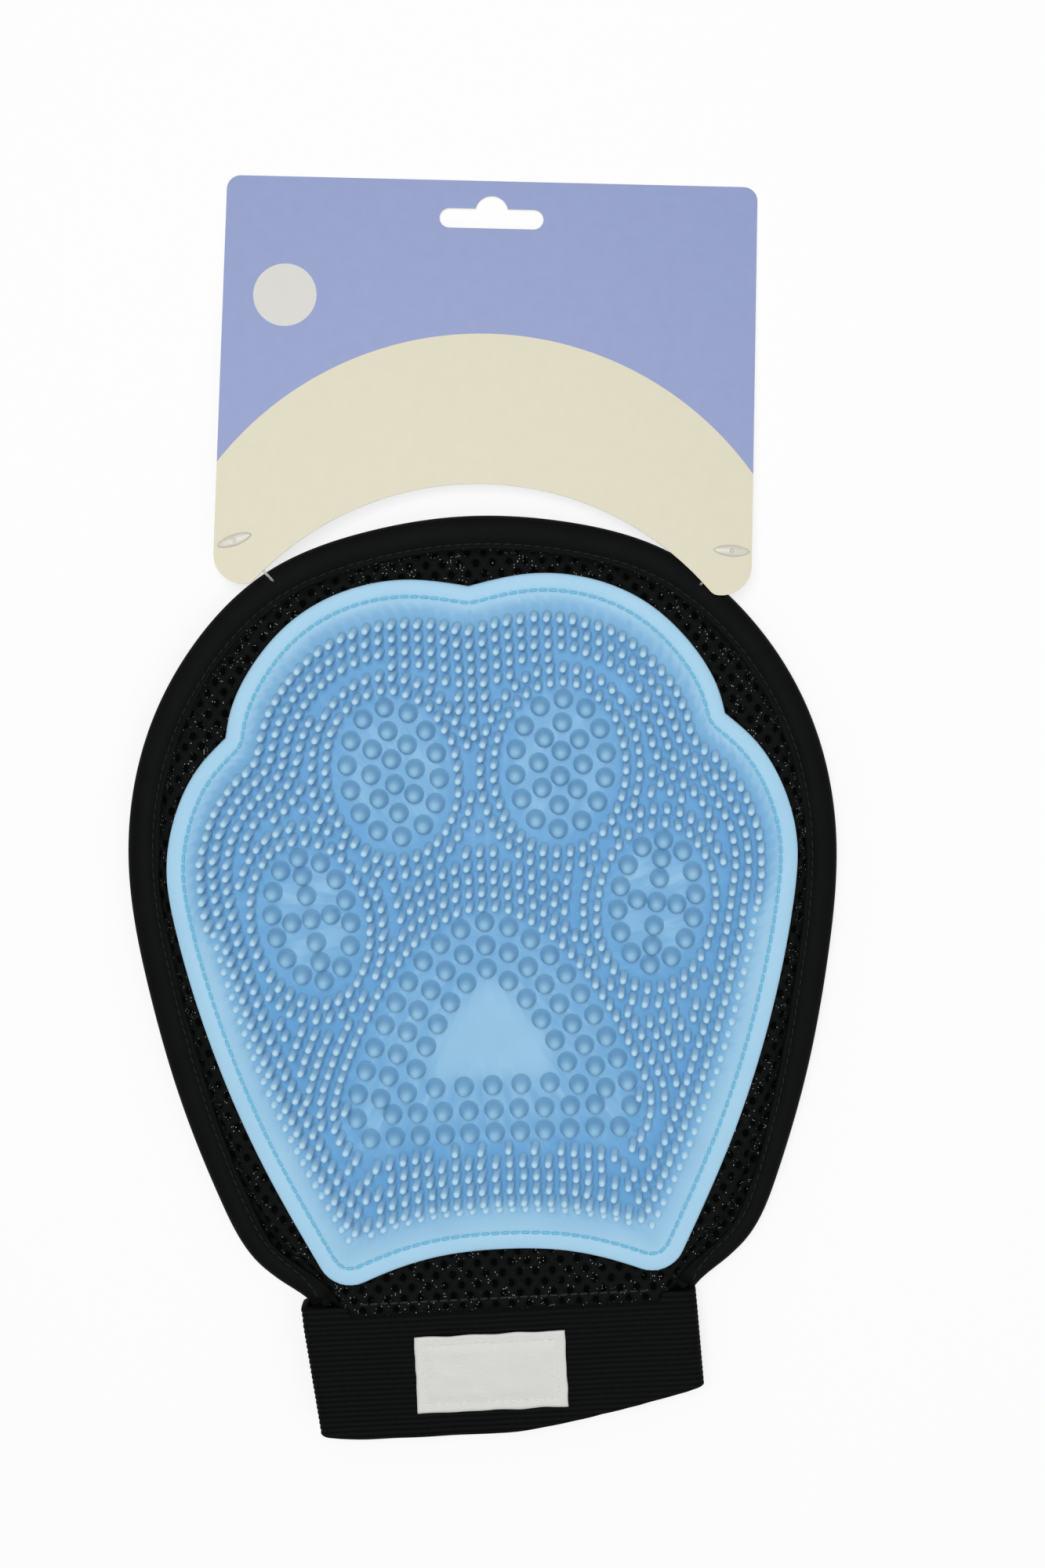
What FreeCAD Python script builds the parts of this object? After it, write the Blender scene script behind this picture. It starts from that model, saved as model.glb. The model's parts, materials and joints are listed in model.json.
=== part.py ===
"""Two-in-one pet grooming mitt: a moulded silicone curry pad sewn to a mesh mitt, with its header card.

The mitt lies on its back panel. The origin is on the flat of the back panel, X runs across the hand,
Y towards the fingertips and Z up through the pad. All sizes are millimetres.
"""

import FreeCAD, Part
import math
import os
import Sketcher

V = FreeCAD.Vector
doc = FreeCAD.newDocument("grooming_mitt")

# ---------------------------------------------------------------- driving sizes
SIZES = [
    ("mitt_half_width", 94.7, "half width over the binding"),
    ("mitt_top", 105.2, "fingertip edge above the origin"),
    ("wrist_drop", 104.5, "wrist edge of the panels below the origin"),
    ("wrist_half_width", 52.3, "half width where the binding ends"),
    ("panel_thickness", 1.5, "spacer mesh"),
    ("belly_depth", 3.2, "flat of the back panel below its flange"),
    ("front_rise", 5.0, "top of the front panel above its flange"),
    ("slope_run", 4.0, "run of the panels' rounded sides"),
    ("flange_start", 4.5, "flange edge in from the binding's fold"),
    ("binding_width", 9.0, "visible width of the binding"),
    ("binding_wall", 1.2, "binding tape"),
    ("binding_round", 1.0, "rounding of the binding's fold"),
    ("thread_width", 0.6, "sewing thread seen from above"),
    ("thread_height", 0.3, "sewing thread above its cloth"),
    ("stitch_length", 2.65, "needle hole to needle hole"),
    ("binding_seam_inset", 7.2, "seam in from the binding's fold"),
    ("pad_side_margin", 11.4, "pad edge in from the mitt's side"),
    ("pad_top_margin", 16.3, "pad lobes below the fingertip edge"),
    ("pad_wrist_margin", 7.5, "pad corners above the wrist edge"),
    ("pad_thickness", 1.5, "silicone sheet"),
    ("pad_corner_radius", 9.0, "pad corners beside the wrist"),
    ("pad_seam_inset", 4.5, "seam in from the pad's edge"),
    ("pin_inset", 9.7, "first row of pins in from the pad's edge"),
    ("pin_inset_taper", 1.5, "more at the fingertips, less at the wrist"),
    ("pin_pitch", 3.45, "pin to pin along a row"),
    ("pin_row_gap", 3.5, "row to row"),
    ("pin_base_radius", 1.05, "small pin at its root"),
    ("pin_tip_radius", 0.8, "small pin at its tip"),
    ("pin_height", 4.5, "small pin"),
    ("stub_height", 1.1, "short pins of the outer row"),
    ("dome_pitch", 6.3, "dome to dome along a row"),
    ("dome_row_gap", 6.1, "row to row"),
    ("dome_base_radius", 2.3, "large nub at its root"),
    ("dome_tip_radius", 1.3, "large nub at its tip"),
    ("dome_height", 4.3, "large nub"),
    ("band_top_left", 54.2, "band edge left of the middle at the wrist"),
    ("band_top_right", 50.9, "band edge right of the middle at the wrist"),
    ("band_end_left", 50.3, "band edge left of the middle at the cuff"),
    ("band_end_right", 51.8, "band edge right of the middle at the cuff"),
    ("band_length", 33.0, "band below the wrist edge"),
    ("band_wall", 1.5, "elastic webbing"),
    ("band_round", 2.6, "rounding of the band's sides"),
    ("band_skew_radius", 167.0, "curve of the band's skewed end"),
    ("band_seam_inset", 2.5, "seam in from the panels' hems"),
    ("label_width", 39.8, "woven label"),
    ("label_height", 20.0, "woven label"),
    ("label_thickness", 0.4, "woven label"),
    ("label_left", 24.2, "label edge left of the middle"),
    ("label_drop", 6.6, "label below the wrist edge"),
    ("label_seam_inset", 2.3, "seam in from the label's edge"),
    ("card_width", 143.0, "header card"),
    ("card_height", 110.5, "header card"),
    ("card_thickness", 0.5, "header card"),
    ("card_corner_radius", 3.75, "top corners"),
    ("lobe_radius", 8.0, "outer corners of the two lobes"),
    ("lobe_inner_radius", 3.0, "inner corners of the two lobes"),
    ("arch_radius", 81.0, "arched cut-out between the lobes"),
    ("arch_rise", 28.3, "top of the arch above the lobes"),
    ("slot_width", 28.0, "euro slot"),
    ("slot_height", 5.4, "bar of the euro slot"),
    ("slot_drop", 13.0, "lower edge of the slot below the card's top"),
    ("slot_hump_radius", 4.4, "hump of the euro slot"),
    ("slot_hump_drop", 0.9, "hump centre below the bar's top"),
    ("card_middle_x", 3.4, "middle of the lobes' line"),
    ("card_line_y", 85.3, "middle of the lobes' line"),
    ("card_line_gap", 1.3, "card above the binding at the lobes"),
    ("card_turn", 4.2, "card turned clockwise, degrees"),
    ("tag_hole_radius", 0.8, "tag hole in the card"),
    ("tag_hole_side", 5.4, "tag hole in from the card's side"),
    ("tag_hole_left_rise", 11.6, "left tag hole above the lobes"),
    ("tag_hole_right_rise", 11.9, "right tag hole above the lobes"),
    ("pierce_left_x", 52.0, "left tag through the binding"),
    ("pierce_right_x", 61.5, "right tag through the binding"),
    ("pierce_inset", 3.0, "tag hole in from the binding's fold"),
    ("pierce_radius", 0.5, "tag hole in the binding"),
    ("filament_radius", 0.35, "tag filament"),
    ("paddle_length", 9.6, "tag paddle"),
    ("paddle_width", 3.0, "tag paddle"),
    ("paddle_thickness", 0.6, "tag paddle"),
    ("t_bar_radius", 0.5, "tag cross bar"),
    ("t_bar_length", 8.0, "tag cross bar"),
]

sheet = doc.addObject("Spreadsheet::Sheet", "Sizes")
for row, (alias, value, note) in enumerate(SIZES, start=1):
    sheet.set(f"A{row}", note)
    sheet.set(f"B{row}", str(value))
    sheet.setAlias(f"B{row}", alias)
doc.recompute()


def size(alias):
    return float(sheet.get(alias))


# levels, from the table up
BACK_FLANGE = size("belly_depth")
FLANGE_SPLIT = BACK_FLANGE + size("panel_thickness")
FRONT_FLANGE_TOP = FLANGE_SPLIT + size("panel_thickness")
PLATEAU = FRONT_FLANGE_TOP + size("front_rise")
PAD_TOP = PLATEAU + size("pad_thickness")
BINDING_TOP = FRONT_FLANGE_TOP + size("binding_wall")
WRIST_Y = -size("wrist_drop")
CARD_LINE_Z = BINDING_TOP + size("card_line_gap")

# the mitt's right side, as shares of its half width and of its top or wrist distance
MITT_SIDE = [(0.289, 0.972), (0.568, 0.884), (0.787, 0.708), (0.931, 0.484), (1.0, 0.159),
             (0.962, -0.154), (0.882, -0.461), (0.786, -0.712), (0.681, -0.881)]
WRIST_FLARE = V(4.0, 5.0)   # the outline is this much wider, this far above the wrist edge
WRIST_TAIL = 26.0   # the outline runs on past the wrist edge, where every piece is trimmed
PAST = 60.0         # cutting blocks reach this far past what they cut


def mitt_curve():
    """The binding's fold, from the left of the wrist round the fingertips to the right."""
    half, top, drop = size("mitt_half_width"), size("mitt_top"), size("wrist_drop")
    side = [V(u * half, v * (top if v > 0 else drop)) for u, v in MITT_SIDE]
    wrist = size("wrist_half_width")
    side.append(V(wrist + WRIST_FLARE.x, -drop + WRIST_FLARE.y))
    side.append(V(wrist, -drop - WRIST_TAIL / 13))
    side.append(V(wrist, -drop - WRIST_TAIL))
    left = [V(-p.x, p.y) for p in reversed(side)]
    curve = Part.BSplineCurve()
    curve.interpolate(left + [V(0, top)] + side)
    return curve


MITT = mitt_curve()
CURVE_SAMPLES = 81


def mitt_wire(inset, z):
    """The fold moved in by inset and closed past the wrist, at height z."""
    first, last = MITT.FirstParameter, MITT.LastParameter
    points = []
    for step in range(CURVE_SAMPLES):
        at = first + (last - first) * step / (CURVE_SAMPLES - 1)
        here, along = MITT.value(at), MITT.tangent(at)[0]
        points.append(V(here.x + along.y * inset, here.y - along.x * inset, z))
    curve = Part.BSplineCurve()
    curve.interpolate(points)
    return Part.Wire([curve.toShape(), Part.LineSegment(points[-1], points[0]).toShape()])


def mitt_plate(inset, low, high):
    return Part.Face(mitt_wire(inset, low)).extrude(V(0, 0, high - low))


def mitt_loft(low_inset, low, high_inset, high):
    return Part.makeLoft([mitt_wire(low_inset, low), mitt_wire(high_inset, high)], True, True)


def trim_wrist(shape):
    """Cuts away what lies past the wrist edge."""
    half = size("mitt_half_width") + PAST
    block = Part.makeBox(2 * half, PAST, 2 * PAST, V(-half, WRIST_Y - PAST, -PAST))
    return shape.cut(block)


def add_feature(name, shape):
    """A document object for a shape that no parametric feature makes."""
    if shape.ShapeType == "Compound" and len(shape.Solids) == 1:
        shape = shape.Solids[0]
    feature = doc.addObject("Part::Feature", name)
    feature.Label = name
    feature.Shape = shape
    return feature


# ---------------------------------------------------------------- mesh panels
def panel(flange_low, flange_high, outer_from, outer_to, drop_to):
    """A flange with a raised or sunken middle, hollow and open at the wrist."""
    thick, width, run = size("panel_thickness"), size("binding_width"), size("slope_run")
    shell = mitt_plate(size("flange_start"), flange_low, flange_high)
    shell = shell.fuse(mitt_loft(width, outer_from, width + run, outer_to))
    hollow = mitt_loft(width + thick, flange_low if outer_to > outer_from else flange_high,
                       width + run + thick, drop_to)
    return trim_wrist(shell.cut(hollow).removeSplitter())


def front_mesh_panel():
    return panel(FLANGE_SPLIT, FRONT_FLANGE_TOP, FRONT_FLANGE_TOP, PLATEAU,
                 PLATEAU - size("panel_thickness"))


def back_mesh_panel():
    return panel(BACK_FLANGE, FLANGE_SPLIT, BACK_FLANGE, 0.0, size("panel_thickness"))


# ---------------------------------------------------------------- binding
def pierce_point(x):
    """Where a tag goes through the binding, for a given X."""
    edge = min(mitt_wire(size("pierce_inset"), 0).discretize(2000),
               key=lambda p: abs(p.x - x) + (1000 if p.y < 0 else 0))
    return V(x, edge.y, 0)


PIERCE = {"left": pierce_point(-size("pierce_left_x")), "right": pierce_point(size("pierce_right_x"))}


def edge_binding():
    """A folded tape round both flanges, open towards the hand."""
    wall, width = size("binding_wall"), size("binding_width")
    low = BACK_FLANGE - wall
    tape = mitt_plate(0, low, BINDING_TOP)
    folds = [edge for edge in tape.Edges
             if edge.BoundBox.ZLength < 0.01 and edge.BoundBox.YMax > size("mitt_top") - 1]
    tape = tape.makeFillet(size("binding_round"), folds)
    tape = tape.cut(mitt_plate(width, low - 1, BINDING_TOP + 1))
    tape = tape.cut(mitt_plate(wall, BACK_FLANGE, FRONT_FLANGE_TOP))
    for point in PIERCE.values():
        tape = tape.cut(Part.makeCylinder(size("pierce_radius"), PAST, point))
    return trim_wrist(tape)


def mitt_thread(inset, low):
    """A line of thread that follows the fold."""
    half, tall = size("thread_width") / 2, size("thread_height")
    ring = mitt_plate(inset - half, low, low + tall)
    ring = ring.cut(mitt_plate(inset + half, low - 1, low + tall + 1))
    return trim_wrist(ring)


def binding_stitching():
    inset = size("binding_seam_inset")
    upper = mitt_thread(inset, BINDING_TOP)
    lower = mitt_thread(inset, BACK_FLANGE - size("binding_wall") - size("thread_height"))
    return Part.makeCompound(upper.Solids + lower.Solids)


# ---------------------------------------------------------------- silicone pad
PAD_HALF = size("mitt_half_width") - size("pad_side_margin")
PAD_HIGH = size("mitt_top") - size("pad_top_margin")
PAD_LOW = size("wrist_drop") - size("pad_wrist_margin")

# one toe lobe and one flank, as shares of the pad's half width and of its upper or lower reach
TOE_LOBE = [(0.0, 0.972), (0.188, 1.0), (0.38, 0.979), (0.555, 0.902), (0.692, 0.774), (0.78, 0.613),
            (0.792, 0.558)]
FLANK = [(0.792, 0.558), (0.881, 0.476), (0.966, 0.33), (1.0, 0.165), (0.981, 0.0), (0.924, -0.212),
         (0.849, -0.421), (0.748, -0.642), (0.574, -0.943)]
PAD_FOOT_MIDDLE = -0.914   # the foot's arch at the middle, a share of the lower reach
CORNER_END = -112          # degrees: where the corner's arc meets the foot
FOOT_PULL = 14.0           # how far the foot keeps each end's direction


def pad_point(u, v):
    return V(u * PAD_HALF, v * (PAD_HIGH if v > 0 else PAD_LOW))


def pad_half():
    """The right half of the pad's outline, from the notch at the top to the middle of the foot."""
    lobe = Part.BSplineCurve()
    lobe.interpolate([pad_point(u, v) for u, v in TOE_LOBE])
    flank = Part.BSplineCurve()
    flank.interpolate([pad_point(u, v) for u, v in FLANK])
    corner, way = flank.EndPoint, flank.tangent(flank.LastParameter)[0]
    radius = size("pad_corner_radius")
    centre = corner + V(way.y, -way.x) * radius
    start = math.atan2(corner.y - centre.y, corner.x - centre.x)
    end = math.radians(CORNER_END)
    middle = (start + end) / 2

    def on_corner(angle):
        return centre + V(math.cos(angle), math.sin(angle)) * radius

    arc = Part.Arc(corner, on_corner(middle), on_corner(end))
    foot = Part.BSplineCurve()
    foot_end = V(0, PAD_FOOT_MIDDLE * PAD_LOW)
    leave = V(math.sin(end), -math.cos(end)) * FOOT_PULL
    foot.buildFromPoles([on_corner(end), on_corner(end) + leave, foot_end + V(FOOT_PULL, 0), foot_end])
    return [lobe.toShape(), flank.toShape(), arc.toShape(), foot.toShape()]


def pad_wire():
    right = pad_half()
    left = [edge.mirror(V(0, 0, 0), V(1, 0, 0)) for edge in right]
    return Part.Wire(Part.__sortEdges__(right + left))


PAD_WIRE = pad_wire()


def pad_ring(inset, width, low, tall):
    """A line of stitches that follows the pad's edge: straight from one needle hole to the next."""
    line = PAD_WIRE.makeOffset2D(-inset)
    count = round(line.Length / size("stitch_length"))
    holes = line.discretize(count + 1)[:-1]
    inner, outer = [], []
    for here, after, before in zip(holes, holes[1:] + holes[:1], holes[-1:] + holes[:-1]):
        way = (after - before).normalize()
        inner.append(V(here.x - way.y * width / 2, here.y + way.x * width / 2, low))
        outer.append(V(here.x + way.y * width / 2, here.y - way.x * width / 2, low))
    faces = [Part.Face(Part.makePolygon(points + points[:1])) for points in (inner, outer)]
    faces.sort(key=lambda face: face.Area)
    return faces[1].cut(faces[0]).extrude(V(0, 0, tall))


def pad_stitching():
    return pad_ring(size("pad_seam_inset"), size("thread_width"), PAD_TOP, size("thread_height"))


FINE_STEPS = 3000
FIELD_ROWS = 19      # rows of pins that follow the pad's edge
ARCH_ROWS = 5        # rows of pins over the heel's arch
NUB_GAP = 0.2        # least air between two nubs' roots
FIRST_RING = 5.4     # first row of pins out from a group's outer nubs
CROWDING = 0.84      # least distance between two pins, as a share of their pitch


def spaced(line, pitch):
    """Points about a pitch apart along an edge, with one at its middle."""
    count = 2 * max(1, round(line.Length / 2 / pitch))
    points = line.discretize(count + 1)
    return points[:-1] if line.isClosed() else points


def right_half(closed_line, pitch):
    """Points about a pitch apart on a closed line's right half, from the top middle to the bottom middle."""
    fine = closed_line.discretize(FINE_STEPS)[:-1]
    top = min(range(len(fine)), key=lambda i: abs(fine[i].x) + (PAST if fine[i].y < 0 else 0))
    ordered = fine[top:] + fine[:top]
    if ordered[len(ordered) // 4].x < 0:
        ordered = [ordered[0]] + ordered[:0:-1]
    half = ordered[:len(ordered) // 2 + 1]
    line = Part.makePolygon(half)
    count = max(2, round(line.Length / pitch) + 1)
    return [V(max(p.x, 0), p.y, 0) for p in line.discretize(count)]


# each toe on the right: middle (shares of the pad), half axes of its outer ring of nubs, lean in degrees,
# ring to ring, reach of the nubs in its core
TOES = [(0.264, 0.435, 12.0, 17.0, 5.0, 6.2, 3.3), (0.544, 0.014, 10.1, 16.4, 9.0, 4.9, 6.2)]
# the heel's outer row of nubs, right side, as shares of the pad
HEEL = [(0.0, -0.018), (0.145, -0.072), (0.295, -0.23), (0.398, -0.407), (0.43, -0.54), (0.392, -0.59)]
HEEL_ROW_ENDS = [-1.0, -0.515, -0.485]                              # lowest nub of each arched row
HEEL_FOOT_ROWS = [(-0.46, 15.0), (-0.526, 26.6), (-0.588, 26.2)]    # level, reach each side


def oval(toe, grow):
    """A toe's ring of nubs, grown or shrunk."""
    u, v, across, along, lean, _, _ = toe
    ellipse = Part.Ellipse(V(0, 0, 0), along + grow, across + grow).toShape()
    ellipse.rotate(V(0, 0, 0), V(0, 0, 1), 90 - lean)
    ellipse.translate(pad_point(u, v))
    return ellipse


def in_toe(x, y):
    for u, v, across, along, lean, _, _ in TOES:
        middle, turn = pad_point(u, v), math.radians(lean)
        dx, dy = abs(x) - middle.x, y - middle.y
        side = dx * math.cos(turn) - dy * math.sin(turn)
        up = dx * math.sin(turn) + dy * math.cos(turn)
        if (side / across) ** 2 + (up / along) ** 2 < 1:
            return True
    return False


HEEL_STEPS = 40


def heel_row(inset):
    """An arched row round the heel, moved in by inset, from left to right."""
    right = [pad_point(u, v) for u, v in HEEL]
    curve = Part.BSplineCurve()
    curve.interpolate([V(-p.x, p.y) for p in reversed(right[1:])] + right)
    points = []
    for step in range(HEEL_STEPS + 1):
        at = curve.FirstParameter + (curve.LastParameter - curve.FirstParameter) * step / HEEL_STEPS
        here, along = curve.value(at), curve.tangent(at)[0]
        points.append(V(here.x + along.y * inset, here.y - along.x * inset, 0))
    moved = Part.BSplineCurve()
    moved.interpolate(points)
    return moved.toShape()


HEEL_OUTLINE = heel_row(0).discretize(HEEL_STEPS)


def in_heel(x, y):
    """Whether a point is under the heel's arch."""
    inside = False
    for here, there in zip(HEEL_OUTLINE, HEEL_OUTLINE[1:] + HEEL_OUTLINE[:1]):
        if (here.y > y) != (there.y > y):
            if x < here.x + (y - here.y) / (there.y - here.y) * (there.x - here.x):
                inside = not inside
    return inside


class Field:
    """Nubs and pins set one at a time, none closer to another than its gap."""

    def __init__(self, placed=()):
        self.placed = list(placed)

    def put(self, points, radius, gap):
        """Sets each point and its mirror image where there is room."""
        for point in points:
            for x in {round(point.x, 4), round(-point.x, 4)}:
                if all((x - a) ** 2 + (point.y - b) ** 2 > (radius + other + gap) ** 2
                       for a, b, other in self.placed):
                    self.placed.append((x, point.y, radius))


def nub_field():
    """Places of the large nubs: rings on the toes, arched and straight rows on the heel."""
    field = Field()
    pitch, radius = size("dome_pitch"), size("dome_base_radius")
    for toe in TOES:
        u, v, across, along, lean, step, core = toe
        field.put(spaced(oval(toe, 0), pitch), radius, NUB_GAP)
        field.put(spaced(oval(toe, -step), pitch), radius, NUB_GAP)
        reach = V(math.sin(math.radians(lean)), math.cos(math.radians(lean))) * core
        middle = pad_point(u, v)
        core_line = Part.LineSegment(middle - reach, middle + reach).toShape()
        field.put(spaced(core_line, pitch), radius, NUB_GAP)
    for row, end in enumerate(HEEL_ROW_ENDS):
        points = spaced(heel_row(row * size("dome_row_gap")), pitch)
        field.put([p for p in points if p.x > -1 and p.y > end * PAD_LOW], radius, NUB_GAP)
    for v, reach in HEEL_FOOT_ROWS:
        line = Part.LineSegment(V(-reach, v * PAD_LOW), V(reach, v * PAD_LOW)).toShape()
        field.put([p for p in spaced(line, pitch) if p.x > -1], radius, NUB_GAP)
    return field.placed


def edge_row(row):
    """A row of pins that follows the pad's edge, set further in at the fingertips than at the wrist."""
    line = PAD_WIRE.makeOffset2D(-size("pin_inset") - row * size("pin_row_gap"))
    taper = size("pin_inset_taper") / PAD_HIGH
    return [V(p.x, p.y * (1 - taper), 0) for p in right_half(line, size("pin_pitch"))]


def pin_field(nubs):
    """Rows of small pins: three along the pad's edge, two round each group of nubs, then rows that fill."""
    field = Field(nubs)
    pitch, step, radius = size("pin_pitch"), size("pin_row_gap"), size("pin_base_radius")
    gap = CROWDING * pitch - 2 * radius
    outer = [edge_row(row) for row in range(3)]
    for points in outer:
        field.put(points, radius, gap)
    stubs = {round(p.y, 4) for p in outer[0] if p.y < 0}
    for ring in range(2):
        grow = FIRST_RING + ring * step
        for toe in TOES:
            field.put(spaced(oval(toe, grow), pitch), radius, gap)
        field.put([p for p in spaced(heel_row(-grow), pitch) if p.x > -1], radius, gap)
    for ring in range(2, ARCH_ROWS):
        grow = FIRST_RING + ring * step
        field.put([p for p in spaced(heel_row(-grow), pitch) if p.x > -1], radius, gap)
    for row in range(3, FIELD_ROWS):
        field.put(edge_row(row), radius, gap)
    return [(x, y, round(y, 4) in stubs) for x, y, _ in field.placed[len(nubs):]
            if not in_toe(x, y) and not in_heel(x, y)]


def bristle(root, tip, tall, sunk):
    """A tapered pin with a round tip, standing on Z=0 and sunk a little below it."""
    shoulder = V(tip, 0, tall - tip)
    crest = V(tip * math.sin(math.pi / 4), 0, tall - tip + tip * math.cos(math.pi / 4))
    profile = [Part.LineSegment(V(0, 0, -sunk), V(root, 0, -sunk)).toShape(),
               Part.LineSegment(V(root, 0, -sunk), shoulder).toShape(),
               Part.Arc(shoulder, crest, V(0, 0, tall)).toShape(),
               Part.LineSegment(V(0, 0, tall), V(0, 0, -sunk)).toShape()]
    return Part.Face(Part.Wire(profile)).revolve(V(0, 0, 0), V(0, 0, 1), 360)


def silicone_pad():
    """The sheet with its nubs and pins, moulded in one."""
    plate = Part.Face(PAD_WIRE).extrude(V(0, 0, size("pad_thickness")))
    plate.translate(V(0, 0, PLATEAU))
    nubs = nub_field()
    sunk = size("pad_thickness") / 3
    nub = bristle(size("dome_base_radius"), size("dome_tip_radius"), size("dome_height"), sunk)
    pin = bristle(size("pin_base_radius"), size("pin_tip_radius"), size("pin_height"), sunk)
    stub = bristle(size("pin_base_radius"), size("pin_tip_radius"), size("stub_height"), sunk)
    standing = [nub.translated(V(x, y, PAD_TOP)) for x, y, _ in nubs]
    for x, y, short in pin_field(nubs):
        standing.append((stub if short else pin).translated(V(x, y, PAD_TOP)))
    return plate.fuse(standing)


# ---------------------------------------------------------------- wrist band
def bind(thing, **formulas):
    """Ties properties to the sheet; a double underscore stands for a dot."""
    for prop, formula in formulas.items():
        thing.setExpression(prop.replace("__", "."), formula)
    return thing


PLATEAU_FORMULA = "Sizes.belly_depth + 2 * Sizes.panel_thickness + Sizes.front_rise"
PAST_BAND = 10      # the blocks that shape the band run on this far past it
SKEW_START = 5      # the cuff's skew starts this far left of the middle
BLOCK_HEIGHT = f"Sizes.belly_depth + Sizes.front_rise + {4 * PAST_BAND}"


def band_wedge(name, inset, past):
    """The band's block, tapered from the wrist to the cuff, moved in by inset and run past both ends."""
    wedge = doc.addObject("Part::Wedge", name)
    drop = "Sizes.wrist_drop + Sizes.band_length"
    return bind(wedge, Xmin=f"-Sizes.band_end_left + {inset}", Xmax=f"Sizes.band_end_right - {inset}",
                X2min=f"-Sizes.band_top_left + {inset}", X2max=f"Sizes.band_top_right - {inset}",
                Ymin=f"-({drop}) - {past}", Ymax=f"-Sizes.wrist_drop + {past}", Zmin=inset, Z2min=inset,
                Zmax=f"{PLATEAU_FORMULA} - {inset}", Z2max=f"{PLATEAU_FORMULA} - {inset}")


def wrist_band():
    """A flat loop of elastic, its cuff end cut askew."""
    outer = band_wedge("band_block", "0", "0")
    hollow = band_wedge("band_passage", "Sizes.band_wall", f"{PAST_BAND}")
    doc.recompute()
    sides = [number for number, edge in enumerate(outer.Shape.Edges, start=1)
             if edge.BoundBox.YLength > 1 and edge.BoundBox.ZLength < 0.01]
    rounded = doc.addObject("Part::Fillet", "band_rounded")
    rounded.Base = outer
    rounded.Edges = [(number, size("band_round"), size("band_round")) for number in sides]
    tube = doc.addObject("Part::Cut", "band_tube")
    tube.Base, tube.Tool = rounded, hollow
    skew = doc.addObject("Part::Cylinder", "band_skew")
    bind(skew, Radius="Sizes.band_skew_radius", Height=BLOCK_HEIGHT,
         Placement__Base__x=f"-{SKEW_START}", Placement__Base__z=f"-{PAST_BAND}",
         Placement__Base__y="-Sizes.wrist_drop - Sizes.band_length + Sizes.band_skew_radius")
    keep = doc.addObject("Part::Box", "band_upper")
    bind(keep, Length=f"Sizes.band_end_left + {4 * PAST_BAND}", Width=f"Sizes.band_length + {4 * PAST_BAND}",
         Height=BLOCK_HEIGHT, Placement__Base__z=f"-{PAST_BAND}",
         Placement__Base__x=f"-Sizes.band_end_left - {4 * PAST_BAND + SKEW_START}",
         Placement__Base__y="-Sizes.wrist_drop - Sizes.band_length - 1")
    keep_both = doc.addObject("Part::Fuse", "band_keep")
    keep_both.Base, keep_both.Tool = skew, keep
    band = doc.addObject("Part::Common", "wrist_band")
    band.Base, band.Tool = tube, keep_both
    band.Label = "wrist_band"
    return band


def hem_thread(low):
    """One straight run of thread along a panel's hem."""
    reach = size("wrist_half_width") - size("binding_width") - size("slope_run") - 1
    return Part.makeBox(2 * reach, size("thread_width"), size("thread_height"),
                        V(-reach, WRIST_Y + size("band_seam_inset"), low))


def wrist_seam_stitching():
    """The seams that hold the band: on the front panel's hem and inside, on the back panel's floor."""
    return Part.makeCompound([hem_thread(PLATEAU), hem_thread(size("panel_thickness"))])


# ---------------------------------------------------------------- woven label
def origin_plane(body, role):
    return next(item for item in body.Origin.OriginFeatures if item.Role == role)


def flat_sketch(body, name):
    """An empty sketch on the body's own XY plane."""
    sketch = body.newObject("Sketcher::SketchObject", name)
    sketch.AttachmentSupport = [(origin_plane(body, "XY_Plane"), "")]
    sketch.MapMode = "FlatFace"
    return sketch


def rectangle(sketch, left, low, wide, tall, formulas):
    """A rectangle held by its lower left corner and its two sides."""
    corners = [V(left, low), V(left + wide, low), V(left + wide, low + tall), V(left, low + tall)]
    for here, there in zip(corners, corners[1:] + corners[:1]):
        sketch.addGeometry(Part.LineSegment(here, there))
    for line in range(4):
        sketch.addConstraint(Sketcher.Constraint("Coincident", line, 2, (line + 1) % 4, 1))
    for line, way in enumerate(("Horizontal", "Vertical", "Horizontal", "Vertical")):
        sketch.addConstraint(Sketcher.Constraint(way, line))
    values = [("DistanceX", 0, 1, 0, 2, wide), ("DistanceY", 1, 1, 1, 2, tall)]
    for (kind, a, b, c, d, value), (name, formula) in zip(values, formulas):
        index = sketch.addConstraint(Sketcher.Constraint(kind, a, b, c, d, value))
        sketch.renameConstraint(index, name)
        sketch.setExpression(f"Constraints.{name}", formula)
    if left == 0:
        sketch.addConstraint(Sketcher.Constraint("Coincident", 0, 1, -1, 1))
    else:
        sketch.addConstraint(Sketcher.Constraint("Symmetric", 0, 1, 0, 2, -1, 1))


def circle(sketch, x, y, radius, formulas):
    """A circle whose radius, and place if it has one, follow the sheet."""
    ring = sketch.addGeometry(Part.Circle(V(x, y), V(0, 0, 1), radius))
    for kind, formula, value in formulas:
        if kind == "Radius":
            index = sketch.addConstraint(Sketcher.Constraint("Radius", ring, value))
        elif value < 0:
            index = sketch.addConstraint(Sketcher.Constraint(kind, ring, 3, -1, 1, -value))
        else:
            index = sketch.addConstraint(Sketcher.Constraint(kind, -1, 1, ring, 3, value))
        name = f"{kind.lower()}_{ring}"
        sketch.renameConstraint(index, name)
        sketch.setExpression(f"Constraints.{name}", formula)
    if len(formulas) == 2:
        sketch.addConstraint(Sketcher.Constraint("PointOnObject", ring, 3, -2))


def pad_feature(body, sketch, formula, name):
    pad = body.newObject("PartDesign::Pad", name)
    pad.Profile = sketch
    pad.setExpression("Length", formula)
    return pad


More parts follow.
